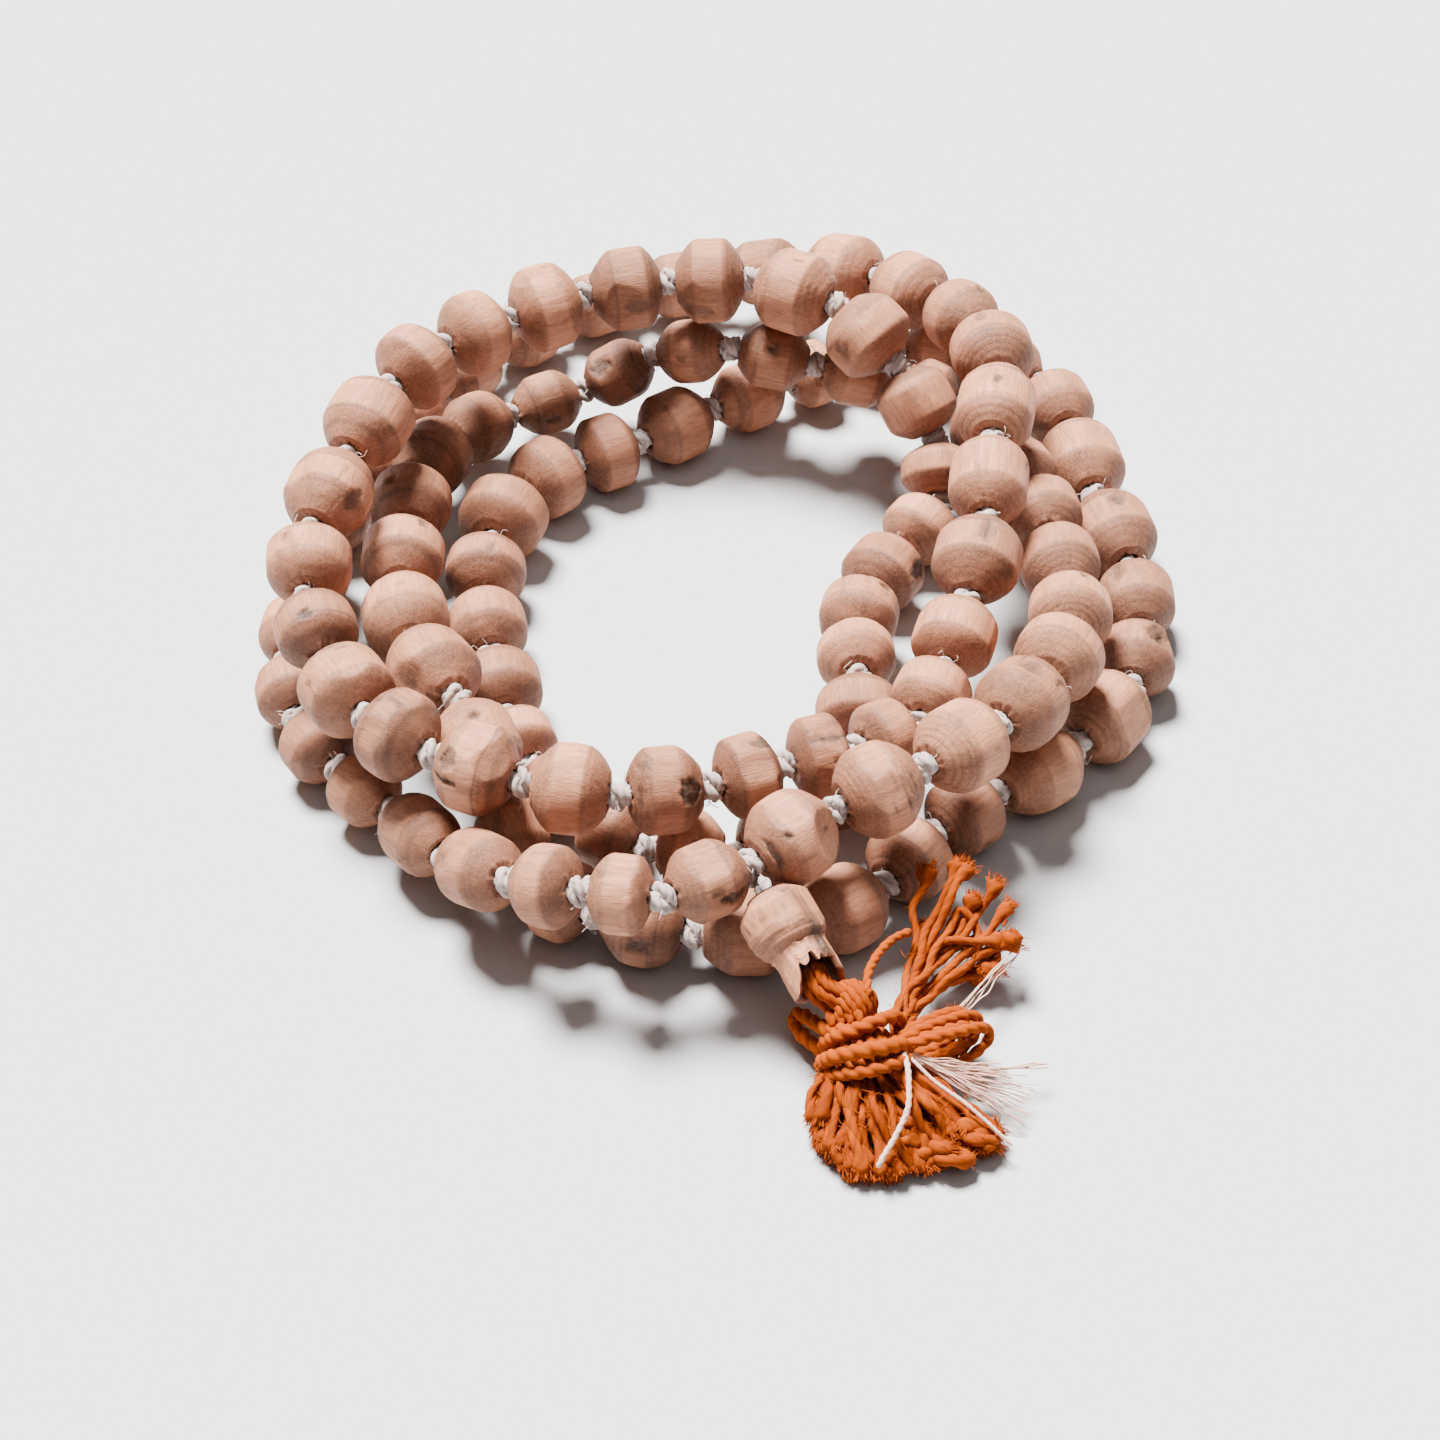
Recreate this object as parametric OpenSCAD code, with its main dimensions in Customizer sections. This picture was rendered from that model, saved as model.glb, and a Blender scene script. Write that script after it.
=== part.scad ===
// Mala prayer beads: 108 turned wooden beads on one knotted cord, a guru bead with a stem,
// and a yarn tassel. The string lies piled in four turns on a flat surface, tassel to the front.

/* [Beads] */
// Length of the straight band round a bead's middle, as a share of its length
band_share = 0.42; // [0.3:0.02:0.54]
// Diameter of a bead's end face, as a share of its diameter
end_share = 0.56; // [0.5:0.02:0.64]
// Diameter where a bead's rounded shoulder turns into its end, as a share of its diameter
shoulder_share = 0.87; // [0.82:0.01:0.92]
// Bore through every bead
bore_d = 2; // [1.9:0.1:2.2]
// Longest bead
longest_bead = 9.2; // [8.6:0.1:9.4]

/* [Cord] */
// Diameter of the stringing cord
cord_d = 1.3; // [1.1:0.1:1.4]
// Diameter of the knot between two beads
knot_d = 2.8; // [2.4:0.1:2.8]
// Length of a knot along the cord
knot_long = 1.3; // [1:0.1:1.3]
// Room between a knot and the beads beside it
knot_room = 0.22; // [0.2:0.01:0.3]

/* [Guru bead] */
// Largest diameter of the guru bead
guru_d = 6.9; // [6.6:0.1:7.1]
// Length of the guru bead's barrel
guru_long = 5.4; // [5.2:0.1:5.6]
// Diameter of the stem below the barrel
stem_d = 5; // [4.8:0.1:5.2]
// Length of the stem
stem_long = 4; // [3.8:0.1:4.1]
// Bore through the guru bead, which takes both cord ends
guru_bore_d = 3.4; // [3.2:0.1:3.5]

/* [Tassel] */
// Diameter of the tassel's head knot
head_d = 4; // [3.6:0.1:4.1]
// Diameter of the yarn wrap round the tassel's neck
wrap_d = 7.6; // [7:0.1:7.7]
// Length of the yarn wrap
wrap_long = 3.2; // [2.8:0.1:3.3]
// Diameter of the right bow loop across its middle
bow_d = 6.4; // [6:0.1:6.6]
// Diameter of one yarn
yarn_d = 1.3; // [1.1:0.1:1.5]
// Reach of the skirt from the middle of the wrap
skirt_long = 11.1; // [10.4:0.1:11.6]
// Thickness of the skirt
skirt_thick = 4.6; // [4:0.1:5]
// Reach of the upper tuft from the tie
tuft_long = 15.2; // [13.2:0.2:15.2]

/* [Hidden] */
$fn = 48;
// Each bead in stringing order: its place on the pile [x, y, z], then its diameter.
route = [
    // first turn: over the front, down the right, across the back, up the left, front floor
    [6, -38, 12.5, 8.1], [13.5, -34.5, 15, 8.3], [21, -29.5, 14.5, 7.8], [27, -21.5, 13, 8.2],
    [31, -14, 11.5, 8.2], [33, -6, 10, 7.8], [32.5, 3, 8.5, 7.6], [31.5, 12, 8, 7.6],
    [30.5, 20, 6.5, 7], [27, 27, 7, 7], [22, 33, 7.5, 7], [14, 33, 9.5, 6.8],
    [5.5, 34, 11, 6.8], [-3, 35.5, 11.5, 6.6], [-10.5, 38, 6.5, 6.4], [-18, 34.5, 4, 6.4],
    [-25.5, 31, 5, 7.2], [-29.5, 22, 7, 7.8], [-30.5, 13.5, 8, 8], [-30.5, 5, 8, 8],
    [-30, -4.5, 8.5, 8.2], [-26.5, -14.5, 10, 8.2], [-21, -22.5, 10.5, 7.6], [-18.5, -31, 3.5, 6.4],
    [-14.5, -38, 4.5, 7.4], [-6.5, -40, 4, 7.6], [2, -42, 4, 7.6], [11.5, -39, 4, 7.6],
    // second turn: the floor, right, back and left
    [16.5, -32, 4, 7.6], [21.5, -26.5, 4, 7.2], [28.5, -21, 4, 7.8], [36.5, -13.5, 4, 8],
    [39.5, -5.5, 4, 7.6], [40.5, 3, 4, 7.4], [39.5, 13.5, 4, 8], [36, 25, 4.5, 8.2],
    [36, 35, 4, 7.6], [31, 42.5, 4, 7], [23, 46, 4, 7], [15.5, 44.5, 4, 7],
    [10, 40.5, 4, 7], [3, 37.5, 4, 7.2], [-5, 31, 4, 7.6], [-11.5, 27, 4, 7.8],
    [-18, 23, 4, 8.2], [-22, 15.5, 5, 8.6], [-23, 7.5, 4, 8], [-22.5, -0.5, 4, 7.6],
    [-20.5, -9.5, 4, 8], [-19, -17.5, 4, 7], [-15, -23.5, 4, 7.2], [-9.5, -29.5, 4, 7.4],
    // third turn: inside right, up to the raised arch at the back, down the left, over the front
    [-3, -31.5, 4, 7.6], [5.5, -31, 4, 7.2], [11.5, -23.5, 3.5, 6.6], [13, -14.5, 7, 8],
    [12.5, -8, 6, 7.4], [13, 0, 5, 7.6], [15.5, 7.5, 4, 7.6], [20, 14, 4, 7.4],
    [23, 20, 6.5, 7.4], [19.5, 25.5, 11.5, 7.6], [15.5, 29, 17.5, 8.6], [7.5, 35, 19, 8.4],
    [-1, 37, 18.5, 8.4], [-9.5, 36, 18, 8.4], [-18, 34, 17.5, 8.8], [-24.5, 29, 17, 8.4],
    [-30.5, 23.5, 18, 8.6], [-34, 16, 16, 8.4], [-37.5, 5.5, 15, 8.2], [-38.5, -3.5, 14, 8],
    [-37, -12, 13, 7.6], [-33.5, -19.5, 12.5, 8.2], [-28.5, -27, 13.5, 8.2], [-21, -30, 13, 8.2],
    [-13, -33, 12.5, 8], [-4.5, -32, 12, 7.8], [2.5, -30, 11.5, 7.4], [8.5, -26.5, 11.5, 7.6],
    // fourth turn: up the right, round behind the arch, down the left floor, up to the guru bead
    [15, -25, 11, 7], [19.5, -18.5, 10.5, 7.2], [21, -11, 11.5, 7.6], [24.5, -2, 13, 8.2],
    [25.5, 8, 15, 7.6], [27, 18.5, 16, 7.6], [28, 29, 15.5, 8.2], [25, 37.5, 13.5, 7.6],
    [20, 44.5, 12, 7.8], [13.5, 52, 10, 8], [5, 56.5, 6.5, 7], [-4.5, 57.5, 4, 7],
    [-13.5, 54.5, 4, 7], [-21, 48.5, 4, 7], [-27, 41.5, 4, 7], [-32.5, 34, 4, 7],
    [-36.5, 25.5, 4, 7], [-38.5, 16.5, 4, 7], [-39.5, 7.5, 4, 7], [-40.5, -1.5, 4, 7],
    [-40.5, -10, 4, 7], [-37, -17.5, 4, 7], [-32, -23.5, 4, 6.6], [-26.5, -29.5, 4.5, 6.6],
    [-21, -38.5, 8, 6.8], [-14.5, -42.5, 11.5, 7.2], [-8.5, -45, 12, 6.8], [-1, -44.5, 12.5, 6.8]
];
count = len(route);
// Beads that are nodes of their own; the rest lie in groups, one for each stretch of the string.
single_beads = concat([for (i = [0:7]) i], [for (i = [63:90]) i], [for (i = [104:107]) i]);
// Each group: its name, its first bead and its last bead, counted from 1
groups = [
    ["beads_back_inner", 9, 17], ["beads_left_inner", 18, 24], ["beads_front_low", 25, 31],
    ["beads_right_outer", 32, 40], ["beads_left_floor", 41, 50], ["beads_right_inner", 51, 63],
    ["beads_back_outer", 92, 98], ["beads_left_outer", 99, 104]
];
// The pile's centre, so that the whole object stands centred on the origin
centre = [0, -2.9, 0];

// Guru bead: the way it points, from the knot above it down to the tassel, and how far its
// upper end is from that knot's middle, which keeps it clear of the beads beside the knot
guru_way = [0.46, -0.75, -0.38];
guru_gap = 3;
// Its profile: diameters as shares of guru_d, and places as shares of guru_long
guru_end_share = 0.5;
guru_shoulder_share = 0.8;
guru_shoulder_at = 0.22;
guru_foot_share = 0.9;
guru_foot_at = 0.86;
// Knots: diameter of a knot's end and length of its thick middle, as shares
knot_end_share = 0.6;
knot_middle_share = 1 / 3;
// Cord: how far from a knot's middle a straight piece begins. It ends inside the knot, but at
// the guru knot, which is a node of its own, it stops short of it.
cord_start = 0.2;
guru_cord_start = knot_long / 2 + 0.3;
// The two cord ends lie beside each other in the guru bead's bore, with this room round them.
cord_end_room = 0.06;
// Tassel: places of its pieces on the pile, and headings in degrees from +X
head_at = [10.3, -52, 5.6];
head_long = 3.2;
wrap_at = [12.7, -55.3, 4.1];
wrap_heading = -62;
bow_left_at = [6.2, -52.6, 2.6];
bow_left_share = 0.75;
bow_right_at = [20.5, -52.6, 1];
bow_roll_d = 1.5 * yarn_d;
tuft_at = [14.5, -51, 1.4];
tuft_heading = 60;
tuft_spread = 30;
tuft_inner = 4;
tuft_thick = 3;
skirt_heading = -80;
skirt_spread = 90;
skirt_inner = 4.4;
thread_d = 0.4;
thread_inner = 5;
thread_headings = [-105, -92, -48];

function bead_name(i) = str("bead_", i < 9 ? "00" : i < 99 ? "0" : "", i + 1);
function place(i) = let (p = route[(i + count) % count])
    [p[0], p[1], max(p[2], p[3] / 2)] - centre;
function diameter(i) = route[(i + count) % count][3];
function unit(v) = v / norm(v);
// The knot before bead i lies on the smooth curve through the four beads around it.
function knot(i) = (9 * (place(i - 1) + place(i)) - place(i - 2) - place(i + 1)) / 16;
function way(i) = unit(knot(i + 1) - knot(i));
function turn(i) = acos(min(1, way(i - 1) * way(i))) / 2;
// Distance from a knot's middle to the bead after or before it, more where the cord bends
function gap(i, d) = max(
    norm([knot_long / 2 * cos(turn(i)), knot_d / 2 * sin(turn(i))]) + knot_room,
    (knot_room / 2 + d * end_share / 2 * sin(turn(i))) / cos(turn(i))
);
function span_start(i) = knot(i) + way(i) * gap(i, diameter(i));
function span_end(i) = knot(i + 1) - way(i) * gap(i + 1, diameter(i));
function bead_at(i) = (span_start(i) + span_end(i)) / 2;
function bead_long(i) = min(norm(span_end(i) - span_start(i)), longest_bead);

function tuck(i) = i % count == 0 ? guru_cord_start : cord_start;

// Turns +Z to point along v.
module along(v) {
    rotate([0, acos(v[2] / norm(v)), atan2(v[1], v[0])]) children();
}

module bead(i) {
    long = bead_long(i);
    r = diameter(i) / 2;
    color("burlywood") translate(bead_at(i)) along(way(i)) rotate_extrude() polygon([
        [bore_d / 2, -long / 2], [r * end_share, -long / 2],
        [r * shoulder_share, -long * (0.5 + band_share) / 3],
        [r, -long * band_share / 2], [r, long * band_share / 2],
        [r * shoulder_share, long * (0.5 + band_share) / 3],
        [r * end_share, long / 2], [bore_d / 2, long / 2]
    ]);
}

module tied_knot(d, long) {
    end_r = d * knot_end_share / 2;
    middle = long * knot_middle_share / 2;
    rotate_extrude() polygon([
        [0, -long / 2], [end_r, -long / 2], [d / 2, -middle],
        [d / 2, middle], [end_r, long / 2], [0, long / 2]
    ]);
}

// The straight piece of cord through bead i
module cord_piece(i) {
    from = tuck(i);
    translate(knot(i) + way(i) * from) along(way(i))
        cylinder(d = cord_d, h = norm(knot(i + 1) - knot(i)) - from - tuck(i + 1));
}

module knotted_cord() {
    color("ivory") for (i = [0:count - 1]) {
        cord_piece(i);
        if (i > 0) translate(knot(i)) along(way(i - 1) + way(i)) tied_knot(knot_d, knot_long);
    }
}

module guru_knot() {
    color("ivory") translate(knot(0)) along(way(count - 1) + way(0)) tied_knot(knot_d, knot_long);
}

// Frame of the guru bead: origin at its upper end face, +Z down its axis to the tassel
module guru_frame() {
    translate(knot(0) + unit(guru_way) * guru_gap) along(guru_way) children();
}

module guru_bead() {
    r = guru_d / 2;
    bore_r = guru_bore_d / 2;
    band = guru_long * band_share / 2;
    whole = guru_long + stem_long;
    color("burlywood") guru_frame() rotate_extrude() polygon([
        [bore_r, 0], [r * guru_end_share, 0], [r * guru_shoulder_share, guru_long * guru_shoulder_at],
        [r, guru_long / 2 - band], [r, guru_long / 2 + band],
        [r * guru_foot_share, guru_long * guru_foot_at], [stem_d / 2, guru_long],
        [stem_d / 2, whole], [bore_r, whole]
    ]);
}

// The two ends of the string, from the guru knot down through the guru bead
module guru_cord_ends() {
    first = knot_d / 2 + cord_end_room - guru_gap;
    color("ivory") guru_frame() for (side = [-1, 1])
        translate([side * (cord_d + cord_end_room) / 2, 0, first])
            cylinder(d = cord_d, h = guru_long + stem_long - cord_end_room - first);
}

module tassel_head_knot() {
    color("orangered") translate(head_at - centre) along(guru_way) tied_knot(head_d, head_long);
}

module tassel_wrap() {
    color("orangered") translate(wrap_at - centre) rotate([0, 90, wrap_heading])
        cylinder(d = wrap_d, h = wrap_long, center = true);
}

// A loop of yarn that lies on its side
module bow(at, d) {
    color("orangered") translate(at - centre)
        rotate_extrude() translate([d / 2 - yarn_d, 0]) circle(d = bow_roll_d);
}

module tassel_bow_left() {
    bow(bow_left_at, bow_d * bow_left_share);
}

module tassel_bow_right() {
    bow(bow_right_at, bow_d);
}

// A flat fan of yarns, spread about its heading
module fan(at, heading, spread, inner, outer, thick) {
    translate(at - centre) rotate([0, 0, heading - spread / 2])
        rotate_extrude(angle = spread) translate([inner, 0]) square([outer - inner, thick]);
}

module tassel_upper_tuft() {
    color("orangered")
        fan(tuft_at, tuft_heading, tuft_spread, tuft_inner, tuft_long, tuft_thick);
}

module tassel_skirt() {
    color("orangered") fan([wrap_at[0], wrap_at[1], 0], skirt_heading, skirt_spread,
        skirt_inner, skirt_long, skirt_thick);
}

// Pale threads that lie on top of the skirt
module tassel_pale_threads() {
    color("mistyrose") for (heading = thread_headings)
        translate([wrap_at[0], wrap_at[1], skirt_thick + thread_d] - centre)
            rotate([0, 90, heading]) translate([0, 0, thread_inner])
                cylinder(d = thread_d, h = skirt_long - thread_d - thread_inner);
}

knotted_cord();
guru_knot();
guru_bead();
guru_cord_ends();
tassel_head_knot();
tassel_wrap();
tassel_bow_left();
tassel_bow_right();
tassel_upper_tuft();
tassel_skirt();
tassel_pale_threads();
for (g = groups) for (i = [g[1] - 1:g[2] - 1]) bead(i);
for (i = single_beads) bead(i);
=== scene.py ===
import math

import bpy
import numpy as np
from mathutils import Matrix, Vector


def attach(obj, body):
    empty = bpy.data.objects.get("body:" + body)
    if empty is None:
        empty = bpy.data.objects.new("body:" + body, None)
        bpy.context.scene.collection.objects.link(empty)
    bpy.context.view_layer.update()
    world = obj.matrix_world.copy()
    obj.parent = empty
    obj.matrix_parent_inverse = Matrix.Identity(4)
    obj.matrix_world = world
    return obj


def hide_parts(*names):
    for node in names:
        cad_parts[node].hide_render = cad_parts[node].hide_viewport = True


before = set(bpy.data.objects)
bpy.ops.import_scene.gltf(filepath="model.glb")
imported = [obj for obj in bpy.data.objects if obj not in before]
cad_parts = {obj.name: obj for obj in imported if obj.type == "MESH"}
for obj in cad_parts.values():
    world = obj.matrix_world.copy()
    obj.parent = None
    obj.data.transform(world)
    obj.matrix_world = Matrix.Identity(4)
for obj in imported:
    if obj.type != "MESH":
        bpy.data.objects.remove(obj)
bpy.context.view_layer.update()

MM = 0.001


def add_object(name, data):
    """A new object with this data, put in the scene."""
    thing = bpy.data.objects.new(name, data)
    bpy.context.scene.collection.objects.link(thing)
    return thing


# ---------------------------------------------------------------- camera
CAMERA_AT = (0, -220.3, 192.4)
CAMERA_TILT = 48
LENS = 76.1
SENSOR = 36


def make_camera():
    data = bpy.data.cameras.new("camera")
    data.lens = LENS
    data.sensor_width = SENSOR
    data.clip_start = 0.01
    camera = add_object("camera", data)
    camera.location = Vector(CAMERA_AT) * MM
    camera.rotation_euler = (math.radians(CAMERA_TILT), 0, 0)
    bpy.context.scene.camera = camera


make_camera()

# ---------------------------------------------------------------- the string's route
# Each bead in stringing order, in millimetres: its place [x, y, z], then its diameter.
ROUTE = [
    # first turn: over the front, down the right, across the back, up the left, front floor
    [6, -38, 12.5, 8.1], [13.5, -34.5, 15, 8.3], [21, -29.5, 14.5, 7.8], [27, -21.5, 13, 8.2],
    [31, -14, 11.5, 8.2], [33, -6, 10, 7.8], [32.5, 3, 8.5, 7.6], [31.5, 12, 8, 7.6],
    [30.5, 20, 6.5, 7], [27, 27, 7, 7], [22, 33, 7.5, 7], [14, 33, 9.5, 6.8],
    [5.5, 34, 11, 6.8], [-3, 35.5, 11.5, 6.6], [-10.5, 38, 6.5, 6.4], [-18, 34.5, 4, 6.4],
    [-25.5, 31, 5, 7.2], [-29.5, 22, 7, 7.8], [-30.5, 13.5, 8, 8], [-30.5, 5, 8, 8],
    [-30, -4.5, 8.5, 8.2], [-26.5, -14.5, 10, 8.2], [-21, -22.5, 10.5, 7.6], [-18.5, -31, 3.5, 6.4],
    [-14.5, -38, 4.5, 7.4], [-6.5, -40, 4, 7.6], [2, -42, 4, 7.6], [11.5, -39, 4, 7.6],
    # second turn: the floor, right, back and left
    [16.5, -32, 4, 7.6], [21.5, -26.5, 4, 7.2], [28.5, -21, 4, 7.8], [36.5, -13.5, 4, 8],
    [39.5, -5.5, 4, 7.6], [40.5, 3, 4, 7.4], [39.5, 13.5, 4, 8], [36, 25, 4.5, 8.2],
    [36, 35, 4, 7.6], [31, 42.5, 4, 7], [23, 46, 4, 7], [15.5, 44.5, 4, 7],
    [10, 40.5, 4, 7], [3, 37.5, 4, 7.2], [-5, 31, 4, 7.6], [-11.5, 27, 4, 7.8],
    [-18, 23, 4, 8.2], [-22, 15.5, 5, 8.6], [-23, 7.5, 4, 8], [-22.5, -0.5, 4, 7.6],
    [-20.5, -9.5, 4, 8], [-19, -17.5, 4, 7], [-15, -23.5, 4, 7.2], [-9.5, -29.5, 4, 7.4],
    # third turn: inside right, up to the raised arch at the back, down the left, over the front
    [-3, -31.5, 4, 7.6], [5.5, -31, 4, 7.2], [11.5, -23.5, 3.5, 6.6], [13, -14.5, 7, 8],
    [12.5, -8, 6, 7.4], [13, 0, 5, 7.6], [15.5, 7.5, 4, 7.6], [20, 14, 4, 7.4],
    [23, 20, 6.5, 7.4], [19.5, 25.5, 11.5, 7.6], [15.5, 29, 17.5, 8.6], [7.5, 35, 19, 8.4],
    [-1, 37, 18.5, 8.4], [-9.5, 36, 18, 8.4], [-18, 34, 17.5, 8.8], [-24.5, 29, 17, 8.4],
    [-30.5, 23.5, 18, 8.6], [-34, 16, 16, 8.4], [-37.5, 5.5, 15, 8.2], [-38.5, -3.5, 14, 8],
    [-37, -12, 13, 7.6], [-33.5, -19.5, 12.5, 8.2], [-28.5, -27, 13.5, 8.2], [-21, -30, 13, 8.2],
    [-13, -33, 12.5, 8], [-4.5, -32, 12, 7.8], [2.5, -30, 11.5, 7.4], [8.5, -26.5, 11.5, 7.6],
    # fourth turn: up the right, round behind the arch, down the left floor, up to the guru bead
    [15, -25, 11, 7], [19.5, -18.5, 10.5, 7.2], [21, -11, 11.5, 7.6], [24.5, -2, 13, 8.2],
    [25.5, 8, 15, 7.6], [27, 18.5, 16, 7.6], [28, 29, 15.5, 8.2], [25, 37.5, 13.5, 7.6],
    [20, 44.5, 12, 7.8], [13.5, 52, 10, 8], [5, 56.5, 6.5, 7], [-4.5, 57.5, 4, 7],
    [-13.5, 54.5, 4, 7], [-21, 48.5, 4, 7], [-27, 41.5, 4, 7], [-32.5, 34, 4, 7],
    [-36.5, 25.5, 4, 7], [-38.5, 16.5, 4, 7], [-39.5, 7.5, 4, 7], [-40.5, -1.5, 4, 7],
    [-40.5, -10, 4, 7], [-37, -17.5, 4, 7], [-32, -23.5, 4, 6.6], [-26.5, -29.5, 4.5, 6.6],
    [-21, -38.5, 8, 6.8], [-14.5, -42.5, 11.5, 7.2], [-8.5, -45, 12, 6.8], [-1, -44.5, 12.5, 6.8],
]
CENTRE = np.array([0, -2.9, 0])
END_SHARE = 0.56
KNOT_D = 2.8
KNOT_LONG = 1.3
KNOT_ROOM = 0.22
LONGEST_BEAD = 9.2
BORE_R = 1.0
GURU_WAY = np.array([0.46, -0.75, -0.38])
GURU_GAP = 3.0
GURU_LONG = 5.4
GURU_D = 6.9
STEM_LONG = 4.0
STEM_D = 5.0
GROUPS = {
    "beads_back_inner": (9, 17), "beads_left_inner": (18, 24), "beads_front_low": (25, 31),
    "beads_right_outer": (32, 40), "beads_left_floor": (41, 50), "beads_right_inner": (51, 63),
    "beads_back_outer": (92, 98), "beads_left_outer": (99, 104),
}
COUNT = len(ROUTE)
# From the object towards the viewer: bead marks are placed round each bead from this side.
TO_VIEW = np.array([0, -0.743, 0.669])


def unit(v):
    return np.asarray(v, float) / np.linalg.norm(v)


def place(i):
    x, y, z, d = ROUTE[i % COUNT]
    return np.array([x, y, max(z, d / 2)]) - CENTRE


def diameter(i):
    return ROUTE[i % COUNT][3]


def knot(i):
    """The knot before bead i lies on the smooth curve through the four beads around it."""
    return (9 * (place(i - 1) + place(i)) - place(i - 2) - place(i + 1)) / 16


def way(i):
    return unit(knot(i + 1) - knot(i))


def turn(i):
    return math.acos(min(1, float(way(i - 1) @ way(i)))) / 2


def gap(i, d):
    """Distance from a knot's middle to the bead beside it, more where the cord bends."""
    half = turn(i)
    knot_reach = math.hypot(KNOT_LONG / 2 * math.cos(half), KNOT_D / 2 * math.sin(half)) + KNOT_ROOM
    end_reach = (KNOT_ROOM / 2 + d * END_SHARE / 2 * math.sin(half)) / math.cos(half)
    return max(knot_reach, end_reach)


class Bead:
    """Where bead i lies: its middle, its axis, its length and its radius."""

    def __init__(self, i):
        self.number = i + 1
        self.way = way(i)
        start = knot(i) + self.way * gap(i, diameter(i))
        end = knot(i + 1) - self.way * gap(i + 1, diameter(i))
        self.at = (start + end) / 2
        self.long = min(np.linalg.norm(end - start), LONGEST_BEAD)
        self.r = diameter(i) / 2


BEADS = [Bead(i) for i in range(COUNT)]
GURU_TOP = knot(0) + unit(GURU_WAY) * GURU_GAP
STEM_END = GURU_TOP + unit(GURU_WAY) * (GURU_LONG + STEM_LONG)

# ---------------------------------------------------------------- mesh helpers


class Build:
    """Collects grids of points, then makes them one mesh with its per-point attributes."""

    def __init__(self):
        self.points = []
        self.faces = []
        self.local = []
        self.tint = []
        self.total = 0

    def add(self, points, local, tint, faces):
        self.points.append(points.reshape(-1, 3))
        self.local.append(local.reshape(-1, 3))
        self.tint.append(tint.reshape(-1, 4))
        self.faces.append(faces.reshape(-1, 4))
        self.total += len(self.points[-1])

    def grid(self, points, local, tint, wrap_rows=False):
        """points and local: rows x columns x 3, closed round the columns; tint: rows x columns x 4."""
        rows, cols = points.shape[:2]
        index = np.arange(rows * cols).reshape(rows, cols) + self.total
        below = np.roll(index, -1, axis=0) if wrap_rows else index[1:]
        upper = index[:len(below)]
        faces = [upper, np.roll(upper, -1, axis=1), np.roll(below, -1, axis=1), below]
        self.add(points, local, tint, np.stack(faces, -1))

    def cap(self, row, local_row, tint_row, flip=False):
        """Closes a ring of points, given as columns x 3, with a fan to its own middle point."""
        fan = [np.vstack([part, part.mean(0, keepdims=True)]) for part in (row, local_row, tint_row)]
        ring = np.arange(len(row)) + self.total
        after = np.roll(ring, -1)
        centre = np.full(len(row), self.total + len(row))
        faces = [centre, after, ring, ring] if flip else [centre, ring, after, after]
        self.add(*fan, np.stack(faces, -1))

    def make(self, name, material):
        points = np.vstack(self.points) * MM
        quads = np.vstack(self.faces)
        triangle = quads[:, 2] == quads[:, 3]
        sizes = np.where(triangle, 3, 4)
        keep = np.ones(quads.shape, bool)
        keep[triangle, 3] = False
        corners = quads[keep]
        mesh = bpy.data.meshes.new(name)
        mesh.vertices.add(len(points))
        mesh.vertices.foreach_set("co", points.astype(np.float32).ravel())
        mesh.loops.add(len(corners))
        mesh.loops.foreach_set("vertex_index", corners.astype(np.int32))
        mesh.polygons.add(len(quads))
        starts = np.concatenate([[0], np.cumsum(sizes)[:-1]])
        mesh.polygons.foreach_set("loop_start", starts.astype(np.int32))
        mesh.polygons.foreach_set("use_smooth", np.ones(len(quads), bool))
        mesh.update(calc_edges=True)
        for label, kind, key, values in (("local", "FLOAT_VECTOR", "vector", self.local),
                                         ("tint", "FLOAT_COLOR", "color", self.tint)):
            layer = mesh.attributes.new(label, kind, "POINT")
            layer.data.foreach_set(key, np.vstack(values).astype(np.float32).ravel())
        mesh.materials.append(material)
        mesh.validate()
        return add_object(name, mesh)


def finish_piece(build, name, material, body, nodes):
    piece = build.make(name, material)
    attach(piece, body)
    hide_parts(*nodes)


def tinted(points, *values):
    """One tint for a whole grid of points; values left out are 0."""
    tint = np.zeros(points.shape[:2] + (4,))
    for k, value in enumerate(values):
        tint[..., k] = value
    return tint


def waves(points, size, seed, terms=9):
    """Smooth irregular values, about -1 to 1, that vary over the given size; points is ... x 3."""
    draw = np.random.RandomState(seed)
    direction = draw.normal(size=(terms, 3))
    direction /= np.linalg.norm(direction, axis=1, keepdims=True)
    pace = 2 * np.pi / size * draw.uniform(0.6, 1.5, terms)
    phase = draw.uniform(0, 2 * np.pi, terms)
    total = np.zeros(points.shape[:-1])
    for k in range(terms):
        total += np.sin(points @ direction[k] * pace[k] + phase[k])
    return total * math.sqrt(2 / terms) * 0.6


def axes_for(w, toward):
    """Two directions square to w: the first leans towards the given one."""
    u = toward - w * float(w @ toward)
    if np.linalg.norm(u) < 0.05:
        u = np.cross(w, [1, 0, 0])
    u = unit(u)
    return u, np.cross(w, u)


def spoke(u, v, angle):
    """The direction at an angle from u, turning towards v."""
    return u * math.cos(angle) + v * math.sin(angle)


def lathe(angle, radius, z):
    """Points round the local Z axis, as rows x columns x 3."""
    return np.stack([np.cos(angle) * radius, np.sin(angle) * radius, z + 0 * angle], -1)


def placed(points, at, u, v, w):
    """Local points moved to a place, with local X, Y and Z along u, v and w."""
    return at + points[..., :1] * u + points[..., 1:2] * v + points[..., 2:] * w


def round_from(angle, middle):
    """The signed angle from a middle direction, between -pi and pi."""
    return (angle - middle + np.pi) % (2 * np.pi) - np.pi


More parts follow.
